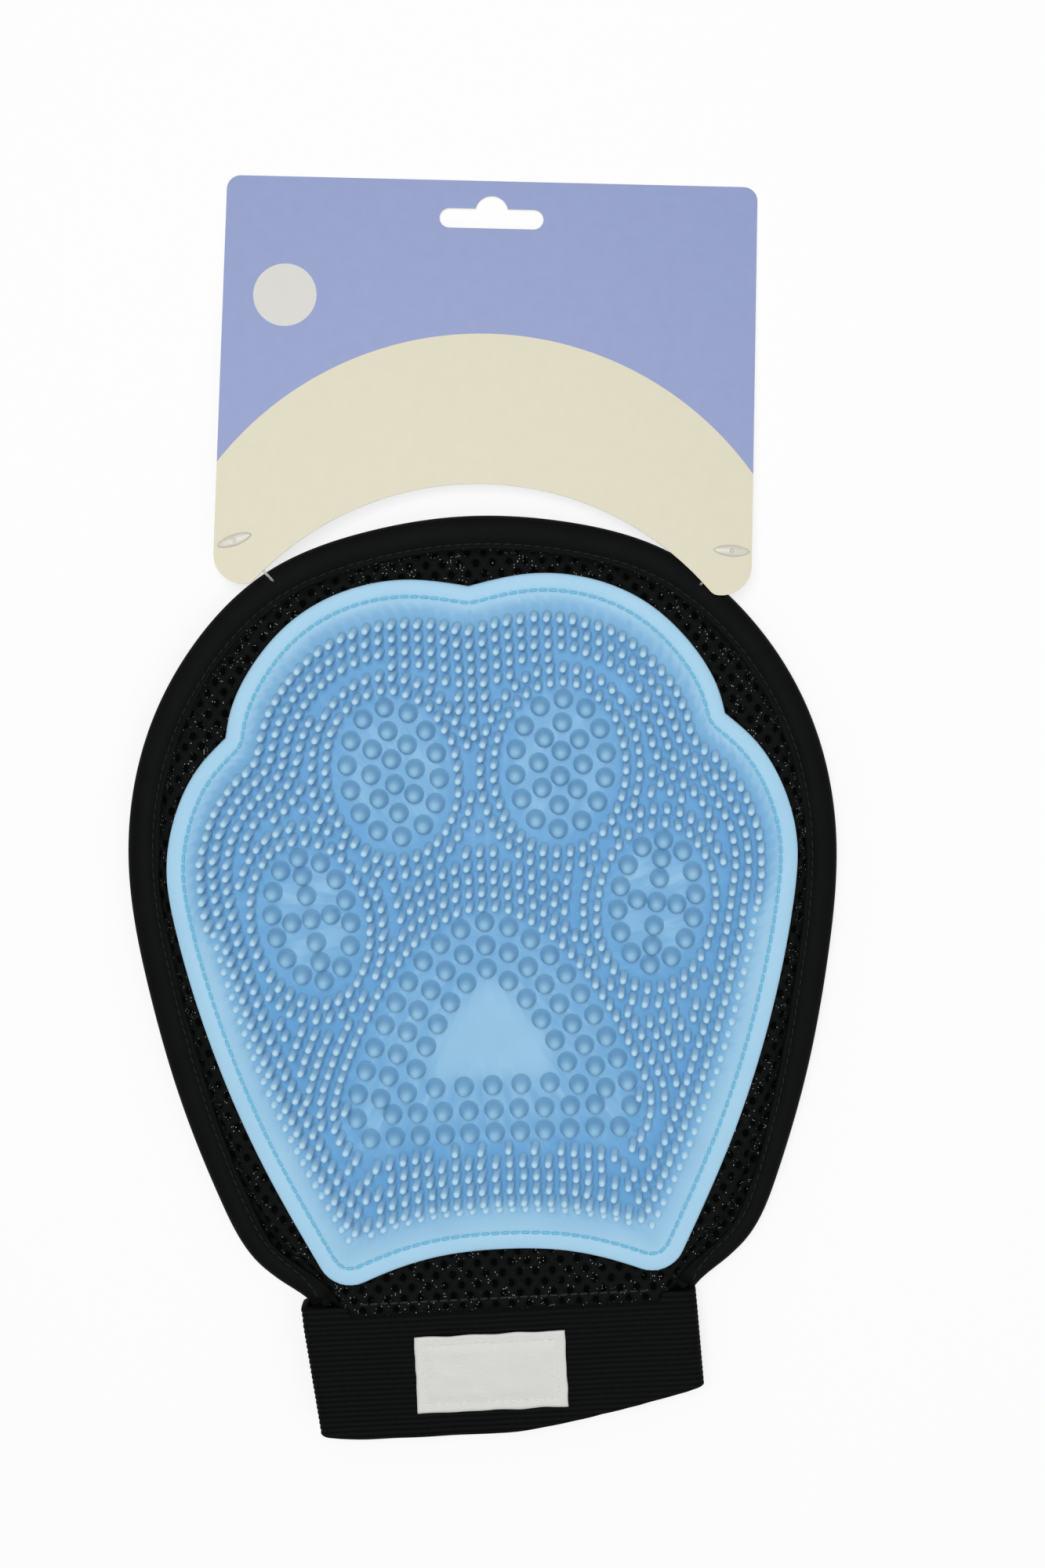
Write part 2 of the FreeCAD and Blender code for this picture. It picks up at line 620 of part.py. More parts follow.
def through_pocket(body, sketch, name):
    pocket = body.newObject("PartDesign::Pocket", name)
    pocket.Profile = sketch
    pocket.Type = "ThroughAll"
    pocket.Midplane = True
    return pocket


def woven_label():
    """A satin tab sewn flat on the band."""
    body = doc.addObject("PartDesign::Body", "woven_label")
    body.Label = "woven_label"
    sketch = flat_sketch(body, "label_outline")
    rectangle(sketch, 0, 0, size("label_width"), size("label_height"),
              [("wide", "Sizes.label_width"), ("tall", "Sizes.label_height")])
    pad_feature(body, sketch, "Sizes.label_thickness", "label_pad")
    return bind(body, Placement__Base__x="-Sizes.label_left",
                Placement__Base__y="-Sizes.wrist_drop - Sizes.label_drop - Sizes.label_height",
                Placement__Base__z=PLATEAU_FORMULA)


def label_stitching():
    """A rectangle of thread just inside the label's edge."""
    inset, wide, tall = size("label_seam_inset"), size("thread_width"), size("thread_height")
    low = V(-size("label_left"), WRIST_Y - size("label_drop") - size("label_height"),
            PLATEAU + size("label_thickness"))
    boxes = []
    for margin in (inset, inset + wide):
        across, up = size("label_width") - 2 * margin, size("label_height") - 2 * margin
        boxes.append(Part.makeBox(across, up, tall, low + V(margin, margin, 0)))
    return boxes[0].cut(boxes[1])


# ---------------------------------------------------------------- header card
CARD_TILT = math.degrees(math.asin(CARD_LINE_Z / size("card_height")))


def card_placement():
    """The card lies from the binding down to the table, turned a little on the mitt."""
    turn = FreeCAD.Rotation(V(0, 0, 1), -size("card_turn")) * FreeCAD.Rotation(V(1, 0, 0), -CARD_TILT)
    return FreeCAD.Placement(V(size("card_middle_x"), size("card_line_y"), CARD_LINE_Z), turn)


CARD = card_placement()


def header_card():
    """Die-cut board with an arched foot, two lobes and a euro slot; its own Y runs up the card."""
    body = doc.addObject("PartDesign::Body", "header_card")
    body.Label = "header_card"
    wide, high = size("card_width"), size("card_height")
    outline = flat_sketch(body, "card_outline")
    rectangle(outline, -wide / 2, 0, wide, high,
              [("wide", "Sizes.card_width"), ("tall", "Sizes.card_height")])
    pad_feature(body, outline, "Sizes.card_thickness", "card_pad")

    arch = flat_sketch(body, "card_arch")
    circle(arch, 0, size("arch_rise") - size("arch_radius"), size("arch_radius"),
           [("Radius", "Sizes.arch_radius", size("arch_radius")),
            ("DistanceY", "Sizes.arch_radius - Sizes.arch_rise", size("arch_rise") - size("arch_radius"))])
    through_pocket(body, arch, "card_arch_cut")

    bar_low = high - size("slot_drop")
    bar = flat_sketch(body, "slot_bar")
    half, mid = size("slot_width") / 2 - size("slot_height") / 2, size("slot_height") / 2
    y = bar_low + mid
    bar.addGeometry(Part.LineSegment(V(-half, y - mid), V(half, y - mid)))
    bar.addGeometry(Part.Arc(V(half, y - mid), V(half + mid, y), V(half, y + mid)))
    bar.addGeometry(Part.LineSegment(V(half, y + mid), V(-half, y + mid)))
    bar.addGeometry(Part.Arc(V(-half, y + mid), V(-half - mid, y), V(-half, y - mid)))
    through_pocket(body, bar, "slot_bar_cut")

    hump_y = bar_low + size("slot_height") - size("slot_hump_drop")
    hump = flat_sketch(body, "slot_hump")
    circle(hump, 0, hump_y, size("slot_hump_radius"),
           [("Radius", "Sizes.slot_hump_radius", size("slot_hump_radius")),
            ("DistanceY", "Sizes.card_height - Sizes.slot_drop + Sizes.slot_height - Sizes.slot_hump_drop",
             hump_y)])
    through_pocket(body, hump, "slot_hump_cut")

    holes = flat_sketch(body, "tag_holes")
    reach = wide / 2 - size("tag_hole_side")
    for sign, rise in ((-1, "left"), (1, "right")):
        circle(holes, sign * reach, size(f"tag_hole_{rise}_rise"), size("tag_hole_radius"),
               [("Radius", "Sizes.tag_hole_radius", size("tag_hole_radius")),
                ("DistanceX", "Sizes.card_width / 2 - Sizes.tag_hole_side", sign * reach),
                ("DistanceY", f"Sizes.tag_hole_{rise}_rise", size(f"tag_hole_{rise}_rise"))])
    cut = through_pocket(body, holes, "tag_hole_cut")
    doc.recompute()

    corners = {"card_corner_radius": lambda p: p.y > high - 1,
               "lobe_radius": lambda p: p.y < 1 and abs(p.x) > wide / 2 - 1,
               "lobe_inner_radius": lambda p: p.y < 1 and abs(p.x) < wide / 2 - 1}
    for name, wanted in corners.items():
        fillet = body.newObject("PartDesign::Fillet", f"{name}_fillet")
        edges = [f"Edge{number}" for number, edge in enumerate(cut.Shape.Edges, start=1)
                 if edge.BoundBox.ZLength > 0.4 * size("card_thickness") and wanted(edge.CenterOfMass)
                 and edge.BoundBox.XLength < 0.01 and edge.BoundBox.YLength < 0.01
                 and abs(edge.CenterOfMass.x) > size("slot_width")]
        fillet.Base = (cut, edges)
        fillet.setExpression("Radius", f"Sizes.{name}")
        doc.recompute()
        cut = fillet
    body.Placement = CARD
    return body


# ---------------------------------------------------------------- tag fasteners
BEND_CLEAR = 0.15   # air between a tag's strand and what it bends round
PADDLE_TURN = {"left": 21.0, "right": -2.0}                          # degrees on the card
T_BAR_TURN = {"left": math.radians(28), "right": math.radians(-38)}   # along the binding


def tag_hole(side):
    """The card's hole for a tag, on the card's face."""
    reach = size("card_width") / 2 - size("tag_hole_side")
    return V(-reach if side == "left" else reach, size(f"tag_hole_{side}_rise"), 0)


def tag_paddle(side, turn):
    """The flat end of a tag, lying on the card over its hole."""
    body = doc.addObject("PartDesign::Body", f"{side}_tag_paddle")
    body.Label = f"{side}_tag_paddle"
    sketch = flat_sketch(body, f"{side}_paddle_outline")
    reach, belly = size("paddle_length") / 2, size("paddle_width") / 2
    sketch.addGeometry(Part.Arc(V(-reach, 0), V(0, -belly), V(reach, 0)))
    sketch.addGeometry(Part.Arc(V(reach, 0), V(0, belly), V(-reach, 0)))
    pad_feature(body, sketch, "Sizes.paddle_thickness", f"{side}_paddle_pad")
    on_card = tag_hole(side) + V(0, 0, size("card_thickness"))
    body.Placement = CARD * FreeCAD.Placement(on_card, FreeCAD.Rotation(V(0, 0, 1), turn))
    return body


def tag_filament(side):
    """The thin strand of a tag: down through the card, under its edge and down through the binding."""
    radius = size("filament_radius")
    pierce = PIERCE[side]
    under = BACK_FLANGE - size("binding_wall")
    top = CARD.multVec(tag_hole(side) + V(0, 0, size("card_thickness")))
    below = CARD.multVec(tag_hole(side) + V(0, 0, -BEND_CLEAR - radius))
    over = V(pierce.x, pierce.y, BINDING_TOP + radius + BEND_CLEAR)
    path = [top, below, over, V(pierce.x, pierce.y, under)]
    strand = None
    for here, there in zip(path, path[1:]):
        run = Part.makeCylinder(radius, here.distanceToPoint(there), here, there - here)
        strand = run if strand is None else strand.fuse(run)
    for bend in path[1:-1]:
        strand = strand.fuse(Part.makeSphere(radius, bend))
    return strand


def tag_t_bar(side):
    """The cross bar of a tag, against the underside of the binding."""
    bar = doc.addObject("Part::Cylinder", f"{side}_tag_t_bar")
    bar.Label = f"{side}_tag_t_bar"
    bind(bar, Radius="Sizes.t_bar_radius", Height="Sizes.t_bar_length")
    centre = PIERCE[side] + V(0, 0, BACK_FLANGE - size("binding_wall") - size("t_bar_radius"))
    lean = T_BAR_TURN[side]
    way = V(math.cos(lean), math.sin(lean), 0)
    turn = FreeCAD.Rotation(V(0, 0, 1), way)
    bar.Placement = FreeCAD.Placement(centre - way * (size("t_bar_length") / 2), turn)
    return bar


# ---------------------------------------------------------------- build, check, export
def build():
    parts = []
    for maker in (back_mesh_panel, front_mesh_panel, edge_binding, binding_stitching, silicone_pad,
                  pad_stitching, wrist_seam_stitching, label_stitching):
        parts.append(add_feature(maker.__name__, maker()))
    for maker in (wrist_band, woven_label, header_card):
        parts.append(maker())
    for side in ("left", "right"):
        parts.append(tag_paddle(side, PADDLE_TURN[side]))
        parts.append(add_feature(f"{side}_tag_filament", tag_filament(side)))
        parts.append(tag_t_bar(side))
    doc.recompute()
    return parts


def check(parts):
    """Stops before anything is written if an object failed or a shape isn't sound."""
    for item in doc.Objects:
        if "Invalid" in item.State or "Error" in item.State:
            raise RuntimeError(f"{item.Name}: {item.State}")
    for part in parts:
        if part.Shape.isNull() or not part.Shape.isValid() or not part.Shape.Solids:
            raise RuntimeError(f"{part.Label}: bad shape")


PARTS = build()
check(PARTS)
os.makedirs("parts", exist_ok=True)
for part in PARTS:
    part.Shape.exportStep(f"parts/{part.Label}.step")
    print(part.Label, len(part.Shape.Solids), round(part.Shape.Volume, 1))
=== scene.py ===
"""A pet grooming mitt with a moulded silicone pad, its wrist band and its header card.

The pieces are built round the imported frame. Lengths are millimetres until a piece is finished, when its mesh
is turned into metres. X runs across the hand, Y towards the fingertips and Z up through the pad.
"""

import json
import math

import bmesh
import bpy
import numpy as np
from mathutils import Matrix, Vector, kdtree, noise


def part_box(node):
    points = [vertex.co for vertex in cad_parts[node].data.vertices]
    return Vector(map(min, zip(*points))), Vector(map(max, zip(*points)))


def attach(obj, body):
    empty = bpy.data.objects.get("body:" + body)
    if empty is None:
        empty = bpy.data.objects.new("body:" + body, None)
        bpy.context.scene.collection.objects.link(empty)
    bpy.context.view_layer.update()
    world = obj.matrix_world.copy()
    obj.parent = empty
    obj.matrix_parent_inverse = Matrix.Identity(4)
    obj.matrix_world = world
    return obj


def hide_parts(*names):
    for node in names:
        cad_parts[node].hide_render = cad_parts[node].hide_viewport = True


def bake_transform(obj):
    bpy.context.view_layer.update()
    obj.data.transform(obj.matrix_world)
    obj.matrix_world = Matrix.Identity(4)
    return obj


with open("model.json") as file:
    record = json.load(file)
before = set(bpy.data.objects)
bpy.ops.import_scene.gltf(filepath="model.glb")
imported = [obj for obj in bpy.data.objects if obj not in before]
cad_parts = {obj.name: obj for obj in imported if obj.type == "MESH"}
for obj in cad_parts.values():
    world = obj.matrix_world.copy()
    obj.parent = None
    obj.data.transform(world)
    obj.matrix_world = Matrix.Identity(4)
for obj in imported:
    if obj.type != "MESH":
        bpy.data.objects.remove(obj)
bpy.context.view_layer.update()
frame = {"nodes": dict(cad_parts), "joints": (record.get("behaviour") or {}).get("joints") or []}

bl_info = {
    "name": "Pet grooming mitt",
    "version": (1, 0, 0),
    "blender": (4, 5, 0),
    "location": "3D View > Sidebar > Mitt",
    "description": "Builds a mesh grooming mitt with a silicone pad, wrist band and header card",
    "category": "Object",
}

MM = 0.001
UP = Vector((0, 0, 1))


def box_mm(node):
    """A CAD node's lowest and highest corners, in millimetres."""
    low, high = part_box(node)
    return low / MM, high / MM


def srgb(red, green, blue):
    """A display colour, each part from 0 to 255, as the linear values that shaders use."""
    shares = [c / 255 for c in (red, green, blue)]
    return tuple(((c + 0.055) / 1.055) ** 2.4 if c > 0.04 else c / 12.92 for c in shares)


# ---------------- sizes taken from the frame
BINDING_LOW, BINDING_HIGH = box_mm("edge_binding")
PAD_BOX_HIGH = box_mm("silicone_pad")[1]
PANEL_LOW, PANEL_HIGH = box_mm("front_mesh_panel")
BAND_LOW, BAND_HIGH = box_mm("wrist_band")
LABEL_LOW, LABEL_HIGH = box_mm("woven_label")
SEAM_LOW, SEAM_HIGH = box_mm("wrist_seam_stitching")
LABEL_SEAM_LOW, LABEL_SEAM_HIGH = box_mm("label_stitching")

MITT_HALF = BINDING_HIGH.x
MITT_TOP = BINDING_HIGH.y
WRIST_DROP = -PANEL_LOW.y
MID_Z = (BINDING_LOW.z + BINDING_HIGH.z) / 2      # the two panels meet at this level
PLATEAU = PANEL_HIGH.z
PAD_HALF = PAD_BOX_HIGH.x
PAD_HIGH = PAD_BOX_HIGH.y
PAD_LOW = 97.0                # the reach that the lower outline's shares are taken from
PAD_SHEET = 1.5               # silicone under the pins
PIN_HEIGHT = PAD_BOX_HIGH.z - PLATEAU - PAD_SHEET
NUB_HEIGHT = PIN_HEIGHT - 0.2
STUB_HEIGHT = 1.1

# ---------------- outlines
# the mitt's right side, as shares of its half width and of its top or wrist distance
MITT_SIDE = [(0.289, 0.972), (0.568, 0.884), (0.787, 0.708), (0.931, 0.484), (1.0, 0.159),
             (0.962, -0.154), (0.882, -0.461), (0.786, -0.712), (0.681, -0.881)]
WRIST_HALF = 52.3
WRIST_TAIL = 26.0
# one toe lobe and one flank of the pad, as shares of its half width and of its upper or lower reach
TOE_LOBE = [(0.0, 0.972), (0.188, 1.0), (0.38, 0.979), (0.555, 0.902), (0.692, 0.774), (0.78, 0.613),
            (0.792, 0.558)]
FLANK = [(0.792, 0.558), (0.881, 0.476), (0.966, 0.33), (1.0, 0.165), (0.981, 0.0), (0.924, -0.212),
         (0.849, -0.421), (0.748, -0.642), (0.574, -0.943)]
FOOT_MIDDLE = -0.914
CORNER_RADIUS = 9.0
CORNER_END = math.radians(-112)
FOOT_PULL = 14.0              # how far the foot's curve runs on along its ends
FOOT_STEPS = 60
SPAN_STEPS = 24               # fine points on each span of a curve, before they are spaced evenly
FAN_STEPS = 6                 # stations that turn round a notch of the outline


def evenly(points, step):
    """Points about a step apart along a line."""
    points = np.array(points, float)
    along = np.concatenate([[0], np.cumsum(np.linalg.norm(np.diff(points, axis=0), axis=1))])
    marks = np.linspace(0, along[-1], max(2, round(along[-1] / step) + 1))
    columns = [np.interp(marks, along, column) for column in points.T]
    return [Vector(point) for point in zip(*columns)]


def spline(points, step):
    """Points about a step apart on the smooth curve through the given ones."""
    given = np.array(points, float)
    spans = np.linalg.norm(np.diff(given, axis=0), axis=1)
    rows, bend = np.eye(len(given)), np.zeros_like(given)
    for i in range(1, len(given) - 1):
        rows[i, i - 1:i + 2] = spans[i - 1], 2 * (spans[i - 1] + spans[i]), spans[i]
        bend[i] = 6 * ((given[i + 1] - given[i]) / spans[i] - (given[i] - given[i - 1]) / spans[i - 1])
    bend = np.linalg.solve(rows, bend)
    fine = []
    for i, span in enumerate(spans):
        for b in np.linspace(0, 1, SPAN_STEPS, endpoint=False):
            a = 1 - b
            fine.append(a * given[i] + b * given[i + 1]
                        + span ** 2 / 6 * ((a ** 3 - a) * bend[i] + (b ** 3 - b) * bend[i + 1]))
    return evenly(fine + [given[-1]], step)


def outward(line):
    """Each point of a clockwise line with its outward direction."""
    found = []
    for i, here in enumerate(line):
        way = (line[min(i + 1, len(line) - 1)] - line[max(i - 1, 0)]).normalized()
        found.append((here, Vector((-way.y, way.x))))
    return found


def fan(here, first, last):
    """Stations at one point, turning from one direction to another."""
    start, end = math.atan2(first.y, first.x), math.atan2(last.y, last.x)
    angles = [start + (end - start) * i / FAN_STEPS for i in range(1, FAN_STEPS)]
    return [(here, Vector((math.cos(a), math.sin(a)))) for a in angles]


def mitt_stations(step):
    """The binding's fold, clockwise from the left of the wrist to the right."""
    side = [(u * MITT_HALF, v * (MITT_TOP if v > 0 else WRIST_DROP)) for u, v in MITT_SIDE]
    side.append((WRIST_HALF + 4, 5 - WRIST_DROP))
    side.append((WRIST_HALF, -WRIST_DROP - 2))
    side.append((WRIST_HALF, -WRIST_DROP - WRIST_TAIL))
    left = [(-x, y) for x, y in reversed(side)]
    return outward(spline(left + [(0, MITT_TOP)] + side, step))


def pad_point(u, v):
    return Vector((u * PAD_HALF, v * (PAD_HIGH if v > 0 else PAD_LOW)))


def pad_stations(step):
    """The pad's edge, clockwise from the notch between the lobes, with a fan of directions at each notch."""
    lobe = outward(spline([pad_point(u, v) for u, v in TOE_LOBE], step))
    flank = outward(spline([pad_point(u, v) for u, v in FLANK], step))
    corner, direction = flank[-1]
    centre = corner - direction * CORNER_RADIUS
    start = math.atan2(direction.y, direction.x)
    turns = np.linspace(start, CORNER_END, max(4, round(CORNER_RADIUS * (start - CORNER_END) / step)))[1:]
    directions = [Vector((math.cos(a), math.sin(a))) for a in turns]
    arc = [(centre + way * CORNER_RADIUS, way) for way in directions]
    foot_start, foot_end = arc[-1][0], pad_point(0, FOOT_MIDDLE)
    leave = Vector((directions[-1].y, -directions[-1].x)) * FOOT_PULL
    handles = [foot_start, foot_start + leave, foot_end + Vector((FOOT_PULL, 0)), foot_end]
    shares = np.linspace(0, 1, FOOT_STEPS)
    weights = [((1 - t) ** 3, 3 * t * (1 - t) ** 2, 3 * t * t * (1 - t), t ** 3) for t in shares]
    foot_line = [sum((h * float(w) for w, h in zip(row, handles)), Vector((0, 0))) for row in weights]
    foot = outward(evenly(foot_line, step))[1:]
    foot[-1] = (foot[-1][0], Vector((0, -1)))
    top = Vector((0, 1))
    right = [(lobe[0][0], top)] + fan(lobe[0][0], top, lobe[0][1]) + lobe
    right += fan(lobe[-1][0], lobe[-1][1], flank[0][1]) + flank + arc + foot
    left = [(Vector((-p.x, p.y)), Vector((-n.x, n.y))) for p, n in reversed(right[1:-1])]
    return right + left


class Outline:
    """Stations with a quick way to ask how far inside them a place is."""

    def __init__(self, stations):
        self.stations = stations
        self.tree = kdtree.KDTree(len(stations))
        for i, (here, _) in enumerate(stations):
            self.tree.insert((here.x, here.y, 0), i)
        self.tree.balance()

    def inset(self, x, y):
        """Distance inside the line, negative outside it."""
        _, i, far = self.tree.find((x, y, 0))
        here, way = self.stations[i]
        side = (here.x - x) * way.x + (here.y - y) * way.y
        return math.copysign(far, side)


MITT = Outline(mitt_stations(1.0))
PAD = Outline(pad_stations(1.4))
SWELL = 2.5                   # the pad and the mesh under it stand up this much at the middle


def swell(x, y):
    """How far a hand's shape lifts the front of the mitt."""
    reach = (x / PAD_HALF) ** 2 + (y / PAD_HIGH) ** 2
    return SWELL * max(0.0, 1 - reach)


def ease(value, low, high):
    """0 below low, 1 above high, and a smooth rise between."""
    share = min(1.0, max(0.0, (value - low) / (high - low)))
    return share * share * (3 - 2 * share)


# ---------------- mesh helpers
def surface(bm, columns, rows, place):
    """A grid of columns by rows, each vertex put at place(column, row). Returns its vertices."""
    made = bmesh.ops.create_grid(bm, x_segments=columns - 1, y_segments=rows - 1, size=0.5)["verts"]
    for vertex in made:
        column = round((vertex.co.x + 0.5) * (columns - 1))
        row = round((vertex.co.y + 0.5) * (rows - 1))
        vertex.co = place(column, row)
    return made


def turned(bm, profile, segments):
    """A shape of revolution round Z from (radius, height) pairs. Returns its vertices."""
    verts = [bm.verts.new((radius, 0, height)) for radius, height in profile]
    edges = [bm.edges.new(pair) for pair in zip(verts, verts[1:])]
    before = set(bm.verts) - set(verts)
    bmesh.ops.spin(bm, geom=verts + edges, cent=(0, 0, 0), axis=(0, 0, 1), angle=math.tau, steps=segments,
                   use_merge=True)
    bmesh.ops.remove_doubles(bm, verts=[v for v in bm.verts if v not in before], dist=0.001)
    made = [v for v in bm.verts if v not in before]
    bmesh.ops.recalc_face_normals(bm, faces=list({face for v in made for face in v.link_faces}))
    return made


def stamp(bm):
    """Keeps a small shape as a mesh, to be planted many times."""
    mesh = bpy.data.meshes.new("stamp")
    bm.to_mesh(mesh)
    bm.free()
    return mesh


def plant(bm, shape, matrix):
    """Adds a copy of a stamp, moved by a matrix."""
    copy = shape.copy()
    copy.transform(matrix)
    bm.from_mesh(copy)
    bpy.data.meshes.remove(copy)


def face_towards(bm, direction):
    """Turns an open sheet's faces to look one way."""
    bmesh.ops.recalc_face_normals(bm, faces=bm.faces)
    if sum(face.normal.dot(direction) * face.calc_area() for face in bm.faces) < 0:
        bmesh.ops.reverse_faces(bm, faces=bm.faces)


def finished(bm, name, material, stands_for=(), body="mitt"):
    """Turns a mesh into metres, hangs it under its body's empty when it has a body, and hides the CAD nodes it
    stands for.
    """
    bmesh.ops.scale(bm, vec=(MM, MM, MM), verts=bm.verts)
    mesh = bpy.data.meshes.new(name)
    bm.to_mesh(mesh)
    bm.free()
    mesh.polygons.foreach_set("use_smooth", [True] * len(mesh.polygons))
    mesh.materials.append(material)
    piece = bpy.data.objects.new(name, mesh)
    bpy.context.scene.collection.objects.link(piece)
    if body:
        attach(piece, body)
    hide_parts(*stands_for)
    return piece


def thicken(piece, thickness, offset):
    solidify = piece.modifiers.new("thickness", "SOLIDIFY")
    solidify.thickness = thickness * MM
    solidify.offset = offset


def stitch(length, width, height):
    """A stamp of one stitch lying along X, pinched where it dives into its holes."""
    bm = bmesh.new()
    half = length / 2
    profile = [(0, -half), (0.32, -half * 0.93), (0.46, -half * 0.6), (0.5, 0), (0.46, half * 0.6),
               (0.32, half * 0.93), (0, half)]
    verts = turned(bm, profile, 6)
    turn = Matrix.Rotation(math.pi / 2, 4, "Y") @ Matrix.Diagonal((2 * height, width, 1, 1))
    bmesh.ops.transform(bm, matrix=turn, verts=verts)
    return stamp(bm)


def sew(bm, template, line, lift, slant=0.0):
    """Plants a stitch between each two holes of a line, lift(x, y) giving its height."""
    for number, (here, there) in enumerate(zip(line, line[1:])):
        middle, way = (here + there) / 2, there - here
        turn = math.atan2(way.y, way.x) + slant * (0.6 + 0.4 * noise.noise(Vector((number * 0.7, 3.1, 0))))
        pitch = math.atan2(lift(there.x, there.y) - lift(here.x, here.y), way.length)
        place = Matrix.Translation((middle.x, middle.y, lift(middle.x, middle.y)))
        spin = Matrix.Rotation(turn, 4, "Z") @ Matrix.Rotation(-pitch, 4, "Y")
        plant(bm, template, place @ spin)


# ---------------- material helpers
def blank(name, roughness, specular=0.5):
    """A material with a Principled shader. Returns it, its tree and the shader."""
    made = bpy.data.materials.new(name)
    made.use_nodes = True
    shader = made.node_tree.nodes["Principled BSDF"]
    shader.inputs["Roughness"].default_value = roughness
    shader.inputs["Specular IOR Level"].default_value = specular
    return made, made.node_tree, shader


def node(tree, kind, settings=None, **inputs):
    """Adds a node; an input is a socket to link or a value to set, and _3 means the fourth input."""
    made = tree.nodes.new("ShaderNode" + kind)
    for name, value in (settings or {}).items():
        setattr(made, name, value)
    for name, value in inputs.items():
        socket = made.inputs[int(name[1:])] if name[0] == "_" else made.inputs[name]
        if isinstance(value, bpy.types.NodeSocket):
            tree.links.new(value, socket)
        else:
            socket.default_value = value
    return made


def place_of(tree):
    """Object coordinates."""
    return node(tree, "TexCoord").outputs["Object"]


def mix(tree, share, low, high):
    """Mixes two colours, given as sockets or as linear colours."""
    low, high = [value if isinstance(value, bpy.types.NodeSocket) else (*value, 1.0) for value in (low, high)]
    made = node(tree, "Mix", {"data_type": "RGBA"}, _0=share, _6=low, _7=high)
    return made.outputs[2]


def shades(tree, share, colour, low, high):
    """A colour between two strengths of itself."""
    return mix(tree, share, [c * low for c in colour], [min(1, c * high) for c in colour])


def maths(tree, operation, first, second=0.0):
    return node(tree, "Math", {"operation": operation}, _0=first, _1=second).outputs[0]


def ramp(tree, value, stops):
    """A colour ramp; stops are (position, linear colour)."""
    made = node(tree, "ValToRGB", Fac=value)
    elements = made.color_ramp.elements
    while len(elements) < len(stops):
        elements.new(0.5)
    for element, (position, colour) in zip(elements, stops):
        element.position = position
        element.color = (*colour, 1.0)
    return made.outputs["Color"]


def grain(tree, coordinates, scale, detail=2.0):
    return node(tree, "TexNoise", Vector=coordinates, Scale=scale, Detail=detail).outputs["Fac"]


def stretch(tree, coordinates, scale):
    """Coordinates scaled differently along each axis."""
    return node(tree, "Mapping", Vector=coordinates, Scale=scale).outputs["Vector"]


def bump(tree, shader, height, distance, strength=1.0):
    made = node(tree, "Bump", Height=height, Distance=distance, Strength=strength)
    tree.links.new(made.outputs["Normal"], shader.inputs["Normal"])


def paint(tree, shader, colour):
    tree.links.new(colour, shader.inputs["Base Color"])


# ---------------- what a user may change
def colour_property(name, description, red, green, blue):
    return bpy.props.FloatVectorProperty(name=name, description=description, subtype="COLOR", size=3,
                                         min=0, max=1, default=srgb(red, green, blue))


def length_property(name, description, default):
    """A length in millimetres."""
    return bpy.props.FloatProperty(name=name, description=description, default=default, min=0)


class MittSizes(bpy.types.PropertyGroup):
    pin_lean: bpy.props.FloatProperty(
        name="Pin lean", description="How far the soft pins lean towards the wrist", subtype="ANGLE",
        default=math.radians(15))
    hole_pitch: length_property("Hole pitch", "Mesh hole to mesh hole across the mitt, in millimetres", 4.4)
    hole_row: length_property("Hole rows", "One row of mesh holes to the next, in millimetres", 2.8)
    stitch_length: length_property("Stitch length", "Needle hole to needle hole, in millimetres", 2.65)
    rib_pitch: length_property("Rib pitch", "One rib of the wrist band to the next, in millimetres", 1.35)


class MittColours(bpy.types.PropertyGroup):
    # shaded and lit copies of one silicone: the deep colour is painted shade between the pins, the rim and tip
    # colours carry painted light, the tips also their milkiness
    silicone_shaded: colour_property("Silicone, deep", "Silicone between the pins", 97, 161, 208)
    silicone_body: colour_property("Silicone, body", "Silicone of the sheet and the nubs", 128, 180, 216)
    silicone_rim: colour_property("Silicone, rim", "Silicone at the pad's bare edge", 166, 208, 233)
    silicone_tip: colour_property("Silicone, tips", "Thin ends of the pins", 182, 219, 241)
    mesh: colour_property("Mesh", "Spacer mesh", 17, 19, 19)
    tape: colour_property("Tape", "Edge binding", 14, 15, 15)
    webbing: colour_property("Webbing", "Elastic wrist band", 13, 15, 14)
    black_thread: colour_property("Black thread", "Thread of the binding and the wrist", 24, 26, 25)
    blue_thread: colour_property("Blue thread", "Thread of the pad", 122, 198, 228)
    satin: colour_property("Satin", "Woven label", 222, 223, 218)
    card_ground: colour_property("Card, ground", "Upper part of the card's print", 140, 154, 199)
    card_panel: colour_property("Card, panel", "Lower part of the card's print", 219, 213, 189)
    card_disc: colour_property("Card, disc", "Bare disc printed on the card", 212, 211, 206)


# ---------------- mesh panels
HOLE_ACROSS = 0.86            # half width of a hole
HOLE_ALONG = 1.18             # half height of a hole
HOLE_DEPTH = 0.9
FLANGE_GAP = 1.35             # a panel's flange from the level where the two panels meet
FLANGE_IN = 4.0               # the flange starts this far in from the binding's fold
SLOPE_START, SLOPE_END = 7.4, 11.6
HEM_Y = -WRIST_DROP - 0.7     # the turned lower edge of the panels
UNDER_PAD = 3.0               # holes go on this far under the pad's edge
HEM_ROLL = 1.3                # the panels roll inwards over this much above the hem
GLINT_REACH = 0.24            # how much of a yarn's cell shines
GLINT_RARE = 0.84             # the share of cells that never shine
GLINT_PATCH = 0.47            # higher leaves fewer patches of glints


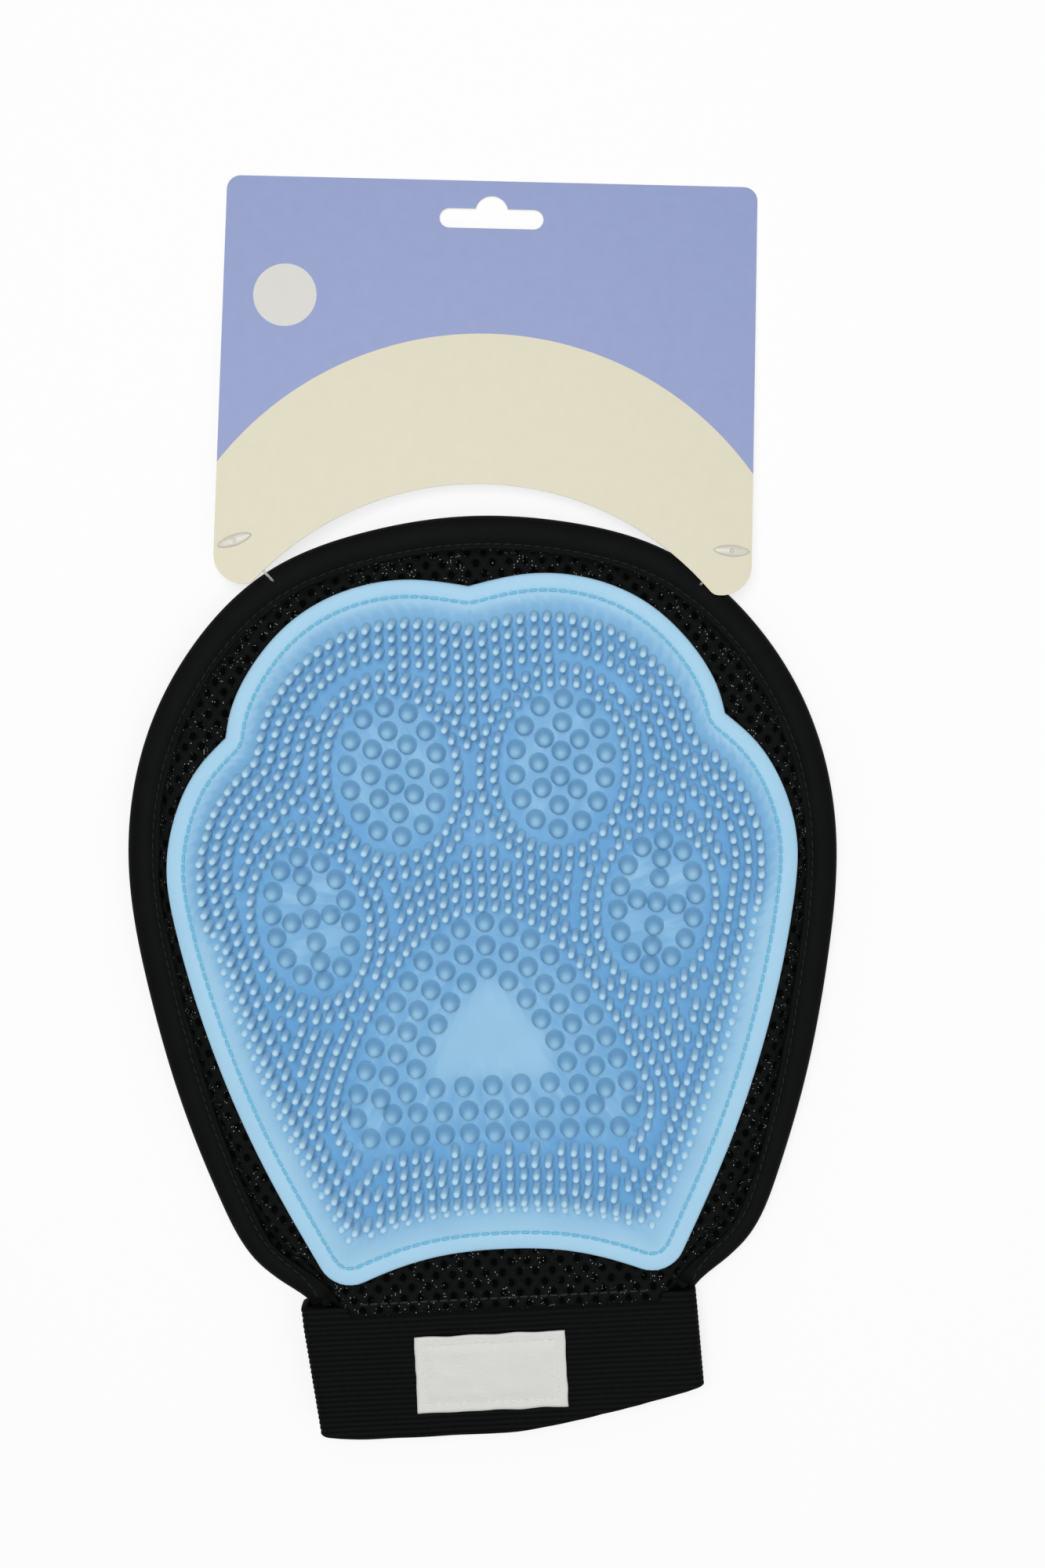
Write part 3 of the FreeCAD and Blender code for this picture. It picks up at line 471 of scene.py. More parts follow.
def spacer_mesh(colours):
    """Black knitted mesh: matt strands, holes darkened with painted shade, and the odd glint of the clear yarn
    inside, partly its paler colour and partly painted highlight.
    """
    made, tree, shader = blank("spacer_mesh", 0.75, 0.04)
    spot = place_of(tree)
    hole_shade = node(tree, "Attribute", {"attribute_name": "hole_shade"}).outputs["Fac"]
    knit = grain(tree, stretch(tree, spot, (1500, 900, 900)), 1.0)
    strand = shades(tree, knit, colours.mesh, 0.5, 1.5)
    # painted shade: the holes' walls and floors darken towards 0.12 of the mesh colour
    dark = mix(tree, hole_shade, strand, [c * 0.12 for c in colours.mesh])
    cells = node(tree, "TexVoronoi", Vector=spot, Scale=2100)
    near = maths(tree, "LESS_THAN", cells.outputs["Distance"], GLINT_REACH)
    pick = node(tree, "SeparateColor", Color=cells.outputs["Color"]).outputs["Red"]
    rare = maths(tree, "GREATER_THAN", pick, GLINT_RARE)
    patch = maths(tree, "GREATER_THAN", grain(tree, spot, 190), GLINT_PATCH)
    glint = maths(tree, "MULTIPLY", maths(tree, "MULTIPLY", near, rare), patch)
    # painted glints: pale specks in a few cells, partly the clear yarn's own paler colour and partly painted
    # highlight
    paint(tree, shader, mix(tree, glint, dark, srgb(190, 192, 186)))
    bump(tree, shader, knit, 0.00025, 0.7)
    return made


def hexagon(pitch, row):
    """The twelve edge points of one cell of staggered holes, corner by corner with the middles between."""
    tall, short = row / 2 + pitch ** 2 / (8 * row), row / 2 - pitch ** 2 / (8 * row)
    corners = [Vector((pitch / 2, short, 0)), Vector((0, tall, 0)), Vector((-pitch / 2, short, 0)),
               Vector((-pitch / 2, -short, 0)), Vector((0, -tall, 0)), Vector((pitch / 2, -short, 0))]
    points = []
    for here, there in zip(corners, corners[1:] + corners[:1]):
        points += [here, (here + there) / 2]
    return points


def mesh_cell(edge, pierced):
    """A stamp of one flat cell of the mesh, with its hole sunk in it or without."""
    bm = bmesh.new()
    hole_shade = bm.verts.layers.float.new("hole_shade")
    made = bmesh.ops.create_circle(bm, cap_ends=True, segments=len(edge), radius=1)["verts"]
    face = made[0].link_faces[0]
    for vertex, point in zip(face.verts, edge):
        vertex.co = point
    if pierced:
        # the hole's wall and floor carry a value for painted shade: a quarter on the wall, full on the floor
        for scale, level, dark in ((1.0, -0.12, 0.25), (0.86, -HOLE_DEPTH, 1.0)):
            bmesh.ops.inset_individual(bm, faces=[face], thickness=0.01)
            for vertex, point in zip(face.verts, edge):
                turn = math.atan2(point.y / HOLE_ALONG, point.x / HOLE_ACROSS)
                vertex.co = (HOLE_ACROSS * scale * math.cos(turn), HOLE_ALONG * scale * math.sin(turn), level)
                vertex[hole_shade] = dark
    return stamp(bm)


def mesh_panel(sizes, side):
    """One panel of the mitt: side is 1 for the front and -1 for the back."""
    bm = bmesh.new()
    pitch, row_gap = sizes.hole_pitch, sizes.hole_row
    edge = hexagon(pitch, row_gap)
    pierced, plain = mesh_cell(edge, True), mesh_cell(edge, False)
    rows = range(math.floor((HEM_Y - 2) / row_gap), math.ceil(MITT_TOP / row_gap))
    for row in rows:
        for column in range(-math.ceil(MITT_HALF / pitch), math.ceil(MITT_HALF / pitch)):
            x, y = (column + row % 2 / 2) * pitch, row * row_gap
            if MITT.inset(x, y) < FLANGE_IN:
                continue
            hidden = side > 0 and PAD.inset(x, y) > UNDER_PAD
            plant(bm, plain if hidden else pierced, Matrix.Translation((x, y, 0)))
    for vertex in bm.verts:
        x, y = vertex.co.x, max(vertex.co.y, HEM_Y)
        rise = ease(MITT.inset(x, y), SLOPE_START, SLOPE_END)
        if side > 0:
            level = MID_Z + FLANGE_GAP + rise * (PLATEAU - MID_Z - FLANGE_GAP) + swell(x, y)
        else:
            level = MID_Z - FLANGE_GAP - rise * (MID_Z - FLANGE_GAP - 0.05)
        hem = ease(-y, -HEM_Y - HEM_ROLL, -HEM_Y)
        wave = 0.12 * noise.noise(Vector((x / 9, y / 9, side * 5)))
        vertex.co = (x, y, level + side * (vertex.co.z + wave - hem))
    bmesh.ops.remove_doubles(bm, verts=bm.verts, dist=0.03)
    bmesh.ops.dissolve_degenerate(bm, edges=bm.edges, dist=0.01)
    face_towards(bm, UP * side)
    return bm


def panel_cut():
    """A panel's width, length and flat area, in metres."""
    line = [here - way * FLANGE_IN for here, way in MITT.stations if here.y > HEM_Y]
    area = abs(sum(a.x * b.y - b.x * a.y for a, b in zip(line, line[1:] + line[:1]))) / 2
    wide = max(p.x for p in line) - min(p.x for p in line)
    tall = max(p.y for p in line) - min(p.y for p in line)
    return (wide * MM, tall * MM), area * MM * MM


# ---------------- binding
# the tape's outer face in cross section, from its upper inner edge to the fold: distance in, and level above
# the middle
TAPE_FACE = [(8.5, 1.5), (9.0, 1.85), (8.95, 2.3), (8.5, 2.56), (7.8, 2.6), (7.4, 2.42), (7.15, 2.36),
             (6.9, 2.44), (6.4, 2.7), (5.2, 2.95), (3.6, 2.95), (2.0, 2.65), (0.8, 2.0), (0.2, 1.1)]
TAPE_WIDTH = 9.0
TAPE_INNER = [(1.3, -1.45), (1.3, 1.45)]
SEAM_IN, SEAM_LEVEL = 7.15, 2.45
TAPE_END = -WRIST_DROP + 0.3
TAPE_TUCK = 3.0               # the tape's ends turn in this far beside the wrist
THREAD_TWIST = 2500           # grain of every sewing thread
# the tape's width by height on the mitt, left side and right side
WIDTH_AT = [-104.0, -80.0, -30.0, 40.0, 100.0]
LEFT_WIDTH = [6.2, 7.4, 8.7, 8.8, 9.6]
RIGHT_WIDTH = [5.2, 6.2, 8.5, 8.7, 9.6]


def tape_width(here):
    return float(np.interp(here.y, WIDTH_AT, LEFT_WIDTH if here.x < 0 else RIGHT_WIDTH))


def binding_tape(colours):
    """Smooth black stretch tape with a fine cross rib."""
    made, tree, shader = blank("binding_tape", 0.6, 0.04)
    spot = place_of(tree)
    cloud = grain(tree, spot, 120)
    fine = grain(tree, spot, 2600)
    paint(tree, shader, shades(tree, cloud, colours.tape, 0.72, 1.3))
    shader.inputs["Sheen Weight"].default_value = 0.01
    shader.inputs["Sheen Roughness"].default_value = 0.4
    bump(tree, shader, fine, 0.00012, 0.6)
    return made


def tape_stations():
    return [(here, way) for here, way in mitt_stations(2.0) if here.y > TAPE_END]


def edge_binding():
    """The folded tape, swept round the mitt."""
    stations = tape_stations()
    lower = [(inset, -level) for inset, level in reversed(TAPE_FACE)]
    section = TAPE_FACE + [(0.0, 0.0)] + lower + TAPE_INNER
    section.append(section[0])
    bm = bmesh.new()

    def place(column, row):
        here, way = stations[column]
        inset, level = section[row]
        share = tape_width(here) / TAPE_WIDTH
        ripple = noise.noise(Vector((here.x / 5, here.y / 5, 1.0)))
        slack = noise.noise(Vector((here.x / 16, here.y / 16, 7.0)))
        crown = ease(inset, 0, 3) * (0.16 * ripple + 0.2 * slack)
        inset = inset * share + (0.5 * slack if inset > 8 else 0)
        at = here - way * inset
        tuck = ease(-here.y, WRIST_DROP - 9, WRIST_DROP)
        x = at.x - math.copysign(TAPE_TUCK * tuck, at.x)
        return Vector((x, at.y, MID_Z + (level + math.copysign(crown, level)) * (1 - 0.25 * tuck)))

    surface(bm, len(stations), len(section), place)
    bmesh.ops.remove_doubles(bm, verts=bm.verts, dist=0.01)
    ends = [edge for edge in bm.edges if edge.is_boundary]
    bmesh.ops.holes_fill(bm, edges=ends, sides=0)
    bmesh.ops.recalc_face_normals(bm, faces=bm.faces)
    length = sum((b[0] - a[0]).length for a, b in zip(stations, stations[1:]))
    around = sum(math.dist(a, b) for a, b in zip(section, section[1:]))
    return bm, (around / 2 * MM, length * MM)


def thread(name, colour):
    """Sewing thread with a fine twist."""
    made, tree, shader = blank(name, 0.6, 0.2)
    spot = place_of(tree)
    strands = grain(tree, spot, THREAD_TWIST)
    paint(tree, shader, shades(tree, strands, colour, 0.75, 1.15))
    bump(tree, shader, strands, 0.0001, 0.6)
    return made


def binding_stitches(sizes):
    """Stitches in the groove of the tape, above and below."""
    stations = tape_stations()
    line = evenly([here - way * SEAM_IN * tape_width(here) / TAPE_WIDTH for here, way in stations],
                  sizes.stitch_length)
    bm = bmesh.new()
    template = stitch(sizes.stitch_length * 0.86, 0.5, 0.3)
    for side in (1, -1):
        sew(bm, template, line, lambda x, y: MID_Z + side * SEAM_LEVEL, 0.12)
    return bm


# ---------------- silicone pad
# the pad's edge in cross section: distance in from its edge, height above the sheet's underside
RIM = [(0.35, 0.0), (0.02, 0.3), (0.0, 0.75), (0.14, 1.15), (0.5, 1.42), (1.1, 1.56), (2.2, 1.62),
       (3.5, 1.58), (4.05, 1.42), (4.5, 1.26), (4.95, 1.4), (5.5, 1.54), (6.8, 1.58), (8.4, 1.56)]
CORE_RINGS = 20
PAD_CENTRE = Vector((0, -6))
PAD_SEAM = (4.5, 1.34)        # the stitched groove: distance in, height
PAD_BASE = PLATEAU - 0.1      # the sheet's underside, sunk a little into the mesh
PIN_PROFILE = [(1.45, -0.35), (1.15, 0.22), (1.03, 1.4), (0.95, 3.5), (0.86, 4.02), (0.54, 4.38), (0.0, 4.5)]
NUB_PROFILE = [(2.95, -0.35), (2.42, 0.3), (2.16, 1.3), (1.78, 2.7), (1.4, 3.5), (0.86, 4.08), (0.0, 4.3)]
STUB_PROFILE = [(1.3, -0.35), (1.04, 0.2), (0.86, 0.66), (0.5, 1.0), (0.0, 1.1)]
CROWD_REACH = 5.4             # pins and nubs this near darken the sheet between them with painted shade
NUB_LEAN = 0.5                # nubs are stiffer, and lean by this share
# each kind of bristle: tip level, profile, segments, tint at its root (painted shade) and at its milky tip
# (painted light), share of the pins' lean
BRISTLES = [(PIN_HEIGHT, PIN_PROFILE, 9, 0.42, 1.0, 1.0), (STUB_HEIGHT, STUB_PROFILE, 8, 0.8, 1.0, 1.0),
            (NUB_HEIGHT, NUB_PROFILE, 14, 0.4, 0.5, NUB_LEAN)]
# tint runs from 0, deep blue in painted shade, to 1, milky and lit: painted light at the rim, and the painted
# shade that the sheet away from the rim, the groove and a crowd of pins take off it
RIM_TINT, INWARD_SHADE, GROOVE_SHADE, CROWD_SHADE = 0.72, 0.16, 0.12, 0.46


def tips(level):
    """Where the CAD pad has a tip at a height above its sheet."""
    height = (PLATEAU + PAD_SHEET + level) * MM
    verts = frame["nodes"]["silicone_pad"].data.vertices
    found = {(round(v.co.x / MM, 1), round(v.co.y / MM, 1))
             for v in verts if abs(v.co.z - height) < 0.003 * MM}
    return sorted(found)


def silicone(colours):
    """Soft blue silicone: painted shade makes it deeper between the pins, painted light paler at the rim, and
    it is milky where it is thin.
    """
    made, tree, shader = blank("blue_silicone", 0.5, 0.28)
    spot = place_of(tree)
    tint = node(tree, "Attribute", {"attribute_name": "tint"}).outputs["Fac"]
    cloud = maths(tree, "MULTIPLY", maths(tree, "SUBTRACT", grain(tree, spot, 60), 0.5), 0.16)
    # the ramp holds shaded and lit copies of one silicone: the deep colour is painted shade, the rim and tip
    # colours carry painted light
    colour = ramp(tree, maths(tree, "ADD", tint, cloud),
                  [(0.0, colours.silicone_shaded), (0.4, colours.silicone_body), (0.7, colours.silicone_rim),
                   (1.0, colours.silicone_tip)])
    paint(tree, shader, colour)
    shader.inputs["Subsurface Weight"].default_value = 0.22
    shader.inputs["Subsurface Radius"].default_value = (0.5, 0.8, 1.0)
    shader.inputs["Subsurface Scale"].default_value = 1.2 * MM
    bump(tree, shader, grain(tree, spot, 1400), 0.00004, 0.5)
    return made


def bristle(profile, segments, low, high):
    """A stamp of a pin or nub standing at the origin, tinted from painted shade at its root to a milky tip
    with painted light.
    """
    bm = bmesh.new()
    tint = bm.verts.layers.float.new("tint")
    verts = turned(bm, profile, segments)
    tall = profile[-1][1]
    for vertex in verts:
        # painted shade at the root, rising to painted light on the thin, milky tip
        vertex[tint] = low + (high - low) * ease(vertex.co.z, -0.2 * tall, tall)
    return stamp(bm)


def moulded_pad(sizes):
    """The sheet with its rolled rim and stitched groove, and every pin and nub where the frame has one."""
    bm = bmesh.new()
    tint = bm.verts.layers.float.new("tint")
    tall = tips(PIN_HEIGHT) + tips(NUB_HEIGHT)
    crowd = kdtree.KDTree(len(tall))
    for i, (x, y) in enumerate(tall):
        crowd.insert((x, y, 0), i)
    crowd.balance()
    stations = PAD.stations

    def sheet(column, row):
        here, way = stations[column % len(stations)]
        inset, level = RIM[min(row, len(RIM) - 1)]
        at = here - way * inset
        if row >= len(RIM):
            at = at.lerp(PAD_CENTRE, (row - len(RIM) + 1) / CORE_RINGS)
        return Vector((at.x, at.y, PAD_BASE + level + swell(at.x, at.y)))

    surface(bm, len(stations) + 1, len(RIM) + CORE_RINGS, sheet)

    def underside(column, row):
        here, way = stations[column % len(stations)]
        at = (here - way * RIM[0][0]).lerp(PAD_CENTRE, row)
        return Vector((at.x, at.y, PAD_BASE + (swell(at.x, at.y) if row == 0 else 0)))

    surface(bm, len(stations) + 1, 2, underside)
    bmesh.ops.remove_doubles(bm, verts=bm.verts, dist=0.002)
    bmesh.ops.recalc_face_normals(bm, faces=bm.faces)
    for vertex in bm.verts:
        x, y = vertex.co.x, vertex.co.y
        near = len(crowd.find_range((x, y, 0), CROWD_REACH))
        inset = PAD.inset(x, y)
        groove = 1 - ease(abs(inset - PAD_SEAM[0]), 0.1, 0.7)
        # painted light at the rim; painted shade inwards from it, in the stitched groove and between crowded
        # pins and nubs
        pale = RIM_TINT - INWARD_SHADE * ease(inset, 3, 9) - GROOVE_SHADE * groove
        vertex[tint] = pale - CROWD_SHADE * ease(near, 0, 6)
    lean = math.tan(sizes.pin_lean)
    for height, profile, segments, low, high, share in BRISTLES:
        template = bristle(profile, segments, low, high)
        for x, y in tips(height):
            sway = noise.noise(Vector((x / 7, y / 7, 2.0)))
            shear = Matrix.Identity(4)
            shear[0][2] = share * lean * (0.5 * sway - 0.4)
            shear[1][2] = share * lean * (0.3 * sway - 1.0)
            level = PAD_BASE + RIM[-1][1] + swell(x, y)
            plant(bm, template, Matrix.Translation((x, y, level)) @ shear)
    return bm


def pad_stitches(sizes):
    """Blue stitches lying in the pad's groove."""
    inset, level = PAD_SEAM
    line = [here - way * inset for here, way in PAD.stations]
    line = evenly(line + line[:1], sizes.stitch_length)
    bm = bmesh.new()
    template = stitch(sizes.stitch_length * 0.84, 0.95, 0.5)
    sew(bm, template, line, lambda x, y: PAD_BASE + level + swell(x, y), 0.1)
    return bm


# ---------------- wrist band
BAND_WALL = 1.5
BAND_ROUND = 2.6
BAND_TUCK = 1.6               # the band runs on this far under the panels' hems
BAND_TOP_SIDES = (-54.2, 50.9)
BAND_END_SIDES = (-50.3, 51.8)
CUFF_RISE = 9.6               # the cuff end climbs this much towards the right
RIB_DEPTH = 0.1
BAND_ROWS = 300
BAND_LIFT = 0.15              # the loop's lower face above the floor
BAND_SLACK = 0.3              # the loop's upper face below the frame's
BAND_DIP = 1.1                # and further below it where it goes under the hems
THIN_BELOW = -131.5           # the elastic is stretched thin below this height


def cuff_y(x):
    """The cuff's edge."""
    right = max(0.0, x / BAND_END_SIDES[1])
    corner = max(0.0, (BAND_END_SIDES[0] + 14 - x) / 14)
    return BAND_LOW.y + CUFF_RISE * right ** 1.35 + 1.2 * corner ** 2


def loop_section():
    """Shares across and up, and the outward direction, round the band."""
    quarter = math.pi / 2
    points = [(t, 1, quarter) for t in np.linspace(0, 1, 40)]
    points += [(1, 1, a) for a in np.linspace(quarter, 0, 6)[1:]]
    points += [(1, s, 0) for s in np.linspace(1, 0, 4)[1:]]
    points += [(1, 0, -a) for a in np.linspace(0, quarter, 6)[1:]]
    points += [(t, 0, -quarter) for t in np.linspace(1, 0, 40)[1:]]
    points += [(0, 0, -quarter - a) for a in np.linspace(0, quarter, 6)[1:]]
    points += [(0, s, math.pi) for s in np.linspace(0, 1, 4)[1:]]
    return points + [(0, 1, math.pi - a) for a in np.linspace(0, quarter, 6)[1:]]


def webbing(sizes, colours):
    """Knitted elastic: fine knots between the ribs, painted light on the ribs' crests and painted shade
    between them, and a few pale pin holes where it is stretched.
    """
    made, tree, shader = blank("elastic_webbing", 0.72, 0.04)
    spot = place_of(tree)
    fine = grain(tree, stretch(tree, spot, (1700, 700, 700)), 1.0)
    across = node(tree, "SeparateXYZ", Vector=spot).outputs["Y"]
    # painted light and shade: the colour lightens on each rib's crest and darkens between the ribs, in step
    # with the ribs of the mesh
    rib = maths(tree, "SINE", maths(tree, "MULTIPLY", across, math.tau / (sizes.rib_pitch * MM)))
    shade = maths(tree, "ADD", maths(tree, "MULTIPLY", fine, 0.5), maths(tree, "MULTIPLY", rib, 0.4))
    cloth = shades(tree, maths(tree, "ADD", shade, 0.25), colours.webbing, 0.5, 1.6)
    knots = stretch(tree, spot, (1050, 1140, 400))
    holes = node(tree, "TexVoronoi", Vector=knots, Scale=1.0, Randomness=0.12)
    near = maths(tree, "LESS_THAN", holes.outputs["Distance"], 0.22)
    low = maths(tree, "LESS_THAN", across, THIN_BELOW * MM)
    patch = maths(tree, "GREATER_THAN", grain(tree, stretch(tree, spot, (55, 240, 55)), 1.0), 0.55)
    shown = maths(tree, "MULTIPLY", maths(tree, "MULTIPLY", near, low), patch)
    paint(tree, shader, mix(tree, shown, cloth, srgb(92, 94, 90)))
    bump(tree, shader, fine, 0.0002, 0.7)
    return made


def wrist_band(sizes):
    """The outer face of the elastic loop; the wall is added inwards."""
    bm = bmesh.new()
    section = loop_section()
    top = -WRIST_DROP + BAND_TUCK

    def place(column, row):
        across, up, turn = section[column % len(section)]
        share = row / (BAND_ROWS - 1)
        sides = [a + (b - a) * share for a, b in zip(BAND_TOP_SIDES, BAND_END_SIDES)]
        inner = sides[0] + BAND_ROUND + across * (sides[1] - sides[0] - 2 * BAND_ROUND)
        x = inner + BAND_ROUND * math.cos(turn)
        y = top + (cuff_y(x) - top) * share
        ceiling = BAND_HIGH.z - BAND_SLACK - BAND_DIP * ease(y, -WRIST_DROP - 4, -WRIST_DROP)
        z = BAND_LIFT + BAND_ROUND + up * (ceiling - BAND_LIFT - 2 * BAND_ROUND) + BAND_ROUND * math.sin(turn)
        flat = abs(math.sin(turn))
        gather = 0.35 * noise.noise(Vector((x / 10, y / 22, up * 4.0))) * flat * (1 if up else 0)
        rib = RIB_DEPTH * math.sin(math.tau * y / sizes.rib_pitch)
        out = rib + gather
        return Vector((x + out * math.cos(turn), y, z + out * math.sin(turn)))

    surface(bm, len(section) + 1, BAND_ROWS, place)
    bmesh.ops.remove_doubles(bm, verts=bm.verts, dist=0.002)
    bmesh.ops.recalc_face_normals(bm, faces=bm.faces)
    middle = Vector(((BAND_LOW.x + BAND_HIGH.x) / 2, 0, BAND_HIGH.z / 2))
    if sum(f.normal.dot((f.calc_center_median() - middle) * Vector((1, 0, 1))) for f in bm.faces) < 0:
        bmesh.ops.reverse_faces(bm, faces=bm.faces)
    return bm


def wrist_stitches(sizes):
    """The seams that hold the band, on the front hem and inside on the back panel."""
    middle = (SEAM_LOW.y + SEAM_HIGH.y) / 2
    line = evenly([(SEAM_LOW.x, middle), (SEAM_HIGH.x, middle)], sizes.stitch_length)
    bm = bmesh.new()
    template = stitch(sizes.stitch_length * 0.8, 0.55, 0.34)
    for level in (PLATEAU + 0.05, BAND_WALL + 0.1):
        sew(bm, template, line, lambda x, y: level, 0.05)
    return bm


# ---------------- woven label
def satin(colours):
    """Off-white satin with fine cross threads and faint creases, painted in as darker clouds of shade."""
    made, tree, shader = blank("label_satin", 0.5, 0.5)
    spot = place_of(tree)
    weave = grain(tree, stretch(tree, spot, (500, 4200, 500)), 1.0)
    crease_shade = grain(tree, spot, 95)
    shade = shades(tree, weave, colours.satin, 0.9, 1)
    # painted shade: faint crease clouds darken the satin towards a grey
    paint(tree, shader, mix(tree, maths(tree, "MULTIPLY", crease_shade, 0.22), shade, srgb(196, 196, 190)))
    shader.inputs["Sheen Weight"].default_value = 0.1
    bump(tree, shader, weave, 0.00015, 0.6)
    return made


LABEL_COLUMNS, LABEL_ROWS = 61, 31


def label_height(x, y):
    """The label's upper face: a little slack between its stitches."""
    inner = min(x - LABEL_LOW.x, LABEL_HIGH.x - x, y - LABEL_LOW.y, LABEL_HIGH.y - y)
    slack = 0.22 * ease(inner, 2.4, 5) * (1 + noise.noise(Vector((x / 5, y / 4, 0))))
    return LABEL_HIGH.z - 0.05 + slack - 0.14 * (1 - ease(abs(inner - 2.3), 0, 0.9))


def woven_label():
    """The label's cloth, its edges a little uneven."""
    bm = bmesh.new()

    def place(column, row):
        across, up = column / (LABEL_COLUMNS - 1), row / (LABEL_ROWS - 1)
        x = LABEL_LOW.x + across * (LABEL_HIGH.x - LABEL_LOW.x)
        y = LABEL_LOW.y + up * (LABEL_HIGH.y - LABEL_LOW.y)
        z = label_height(x, y)
        x += 0.25 * noise.noise(Vector((y / 4, across * 3, 4.0)))
        y += 0.25 * noise.noise(Vector((x / 6, up * 3, 9.0)))
        return Vector((x, y, z))

    surface(bm, LABEL_COLUMNS, LABEL_ROWS, place)
    face_towards(bm, UP)
    return bm


def label_stitches(sizes):
    """White stitches round the label."""
    low, high = LABEL_SEAM_LOW, LABEL_SEAM_HIGH
    corners = [(low.x, low.y), (high.x, low.y), (high.x, high.y), (low.x, high.y), (low.x, low.y)]
    bm = bmesh.new()
    template = stitch(sizes.stitch_length * 0.6, 0.5, 0.3)
    for here, there in zip(corners, corners[1:]):
        sew(bm, template, evenly([here, there], sizes.stitch_length * 0.82),
            lambda x, y: label_height(x, y) + 0.08, 0.06)
    return bm


# ---------------- header card
CARD_HEIGHT = 110.5
CARD_ORIGIN = Vector([c / MM for c in frame["joints"][0]["pos_m"]])
CARD_TURN = math.atan2(frame["joints"][0]["axis"][1], frame["joints"][0]["axis"][0])
CARD_TILT = -math.asin(CARD_ORIGIN.z / CARD_HEIGHT)
PANEL_APEX = 68.8             # top of the pale panel above the lobes' line
PANEL_RADIUS = 88.6
DISC_MIDDLE = (-54.9, 78.1)
DISC_RADIUS = 8.5


def card_frame():
    """From the card's own axes, across and up, to the mitt's."""
    turn = Matrix.Rotation(CARD_TURN, 4, "Z") @ Matrix.Rotation(CARD_TILT, 4, "X")
    return Matrix.Translation(CARD_ORIGIN) @ turn


def printed_card(colours):
    """Coated board: a flat ground, a pale arched panel and a bare disc; its core and back are unprinted."""
    made, tree, shader = blank("printed_card", 0.46, 0.4)
    coordinates = node(tree, "TexCoord")
    flat = node(tree, "Mapping", {"vector_type": "TEXTURE"}, Vector=coordinates.outputs["Object"],
                Location=CARD_ORIGIN * MM, Rotation=(CARD_TILT, 0, CARD_TURN)).outputs["Vector"]
    parts = node(tree, "SeparateXYZ", Vector=flat)
    plane = node(tree, "CombineXYZ", X=parts.outputs["X"], Y=parts.outputs["Y"]).outputs["Vector"]

    def within(x, y, radius):
        far = node(tree, "VectorMath", {"operation": "DISTANCE"}, _0=plane, _1=(x * MM, y * MM, 0))
        return maths(tree, "LESS_THAN", far.outputs["Value"], radius * MM)

    fibre = grain(tree, flat, 260, 4.0)
    ground = shades(tree, fibre, colours.card_ground, 0.95, 1.04)
    panel = shades(tree, fibre, colours.card_panel, 0.97, 1.02)
    front = mix(tree, within(0, PANEL_APEX - PANEL_RADIUS, PANEL_RADIUS), ground, panel)
    front = mix(tree, within(*DISC_MIDDLE, DISC_RADIUS), front, colours.card_disc)
    facing = card_frame().to_3x3() @ UP
    upward = node(tree, "VectorMath", {"operation": "DOT_PRODUCT"}, _0=coordinates.outputs["Normal"],
                  _1=facing).outputs["Value"]
    paint(tree, shader, mix(tree, maths(tree, "GREATER_THAN", upward, 0.5), srgb(232, 230, 222), front))
    bump(tree, shader, grain(tree, flat, 45, 1.0), 0.0003, 0.35)
    return made


# ---------------- tags
def clear_plastic(name, clearness):
    """Milky tag plastic that shows what is under it where it is thin."""
    made, tree, shader = blank(name, 0.3, 0.5)
    cloud = grain(tree, place_of(tree), 500)
    paint(tree, shader, mix(tree, cloud, srgb(228, 225, 212), srgb(240, 238, 228)))
    shader.inputs["Transmission Weight"].default_value = clearness
    shader.inputs["IOR"].default_value = 1.45
    return made


def middle_of(name):
    low, high = box_mm(name)
    return (low + high) / 2


PADDLE_TURN = {"left": math.radians(21), "right": math.radians(-2)}
BAR_TURN = {"left": math.radians(28), "right": math.radians(-38)}
PADDLE_HALF = Vector((4.8, 1.5, 0.34))
CARD_FACE = 0.5               # the printed face, in the card's own axes
PADDLE_LIFT = 0.3             # from the card's face to the middle of the paddle
STRAND = 0.35
BAR_RADIUS = 0.5
BAR_LENGTH = 8.0


def tag_paddle(side):
    """A flat lens of plastic with a small boss where the strand starts."""
    bm = bmesh.new()
    bmesh.ops.create_uvsphere(bm, u_segments=32, v_segments=14, radius=1)
    for vertex in bm.verts:
        narrow = 1 - 0.25 * abs(vertex.co.x) ** 3
        vertex.co = (vertex.co.x * PADDLE_HALF.x, vertex.co.y * PADDLE_HALF.y * narrow,
                     vertex.co.z * PADDLE_HALF.z)
    boss = turned(bm, [(0.0, 0.1), (0.62, 0.12), (0.6, 0.42), (0.4, 0.56), (0.0, 0.6)], 14)
    bmesh.ops.recalc_face_normals(bm, faces=list({face for v in boss for face in v.link_faces}))
    spot = card_frame().inverted() @ middle_of(f"{side}_tag_paddle")
    spot.z = CARD_FACE + PADDLE_LIFT
    place = card_frame() @ Matrix.Translation(spot) @ Matrix.Rotation(PADDLE_TURN[side], 4, "Z")
    bmesh.ops.transform(bm, matrix=place, verts=bm.verts)
    return bm


def tag_bar(side):
    """The cross bar against the underside of the binding."""
    bm = bmesh.new()
    half = BAR_LENGTH / 2
    upper = [(BAR_RADIUS, half - 0.4), (BAR_RADIUS * 0.7, half - 0.08), (0, half)]
    turned(bm, [(radius, -height) for radius, height in reversed(upper)] + upper, 12)
    place = Matrix.Translation(middle_of(f"{side}_tag_t_bar")) @ Matrix.Rotation(BAR_TURN[side], 4, "Z")
    bmesh.ops.transform(bm, matrix=place @ Matrix.Rotation(math.pi / 2, 4, "Y"), verts=bm.verts)
    return bm


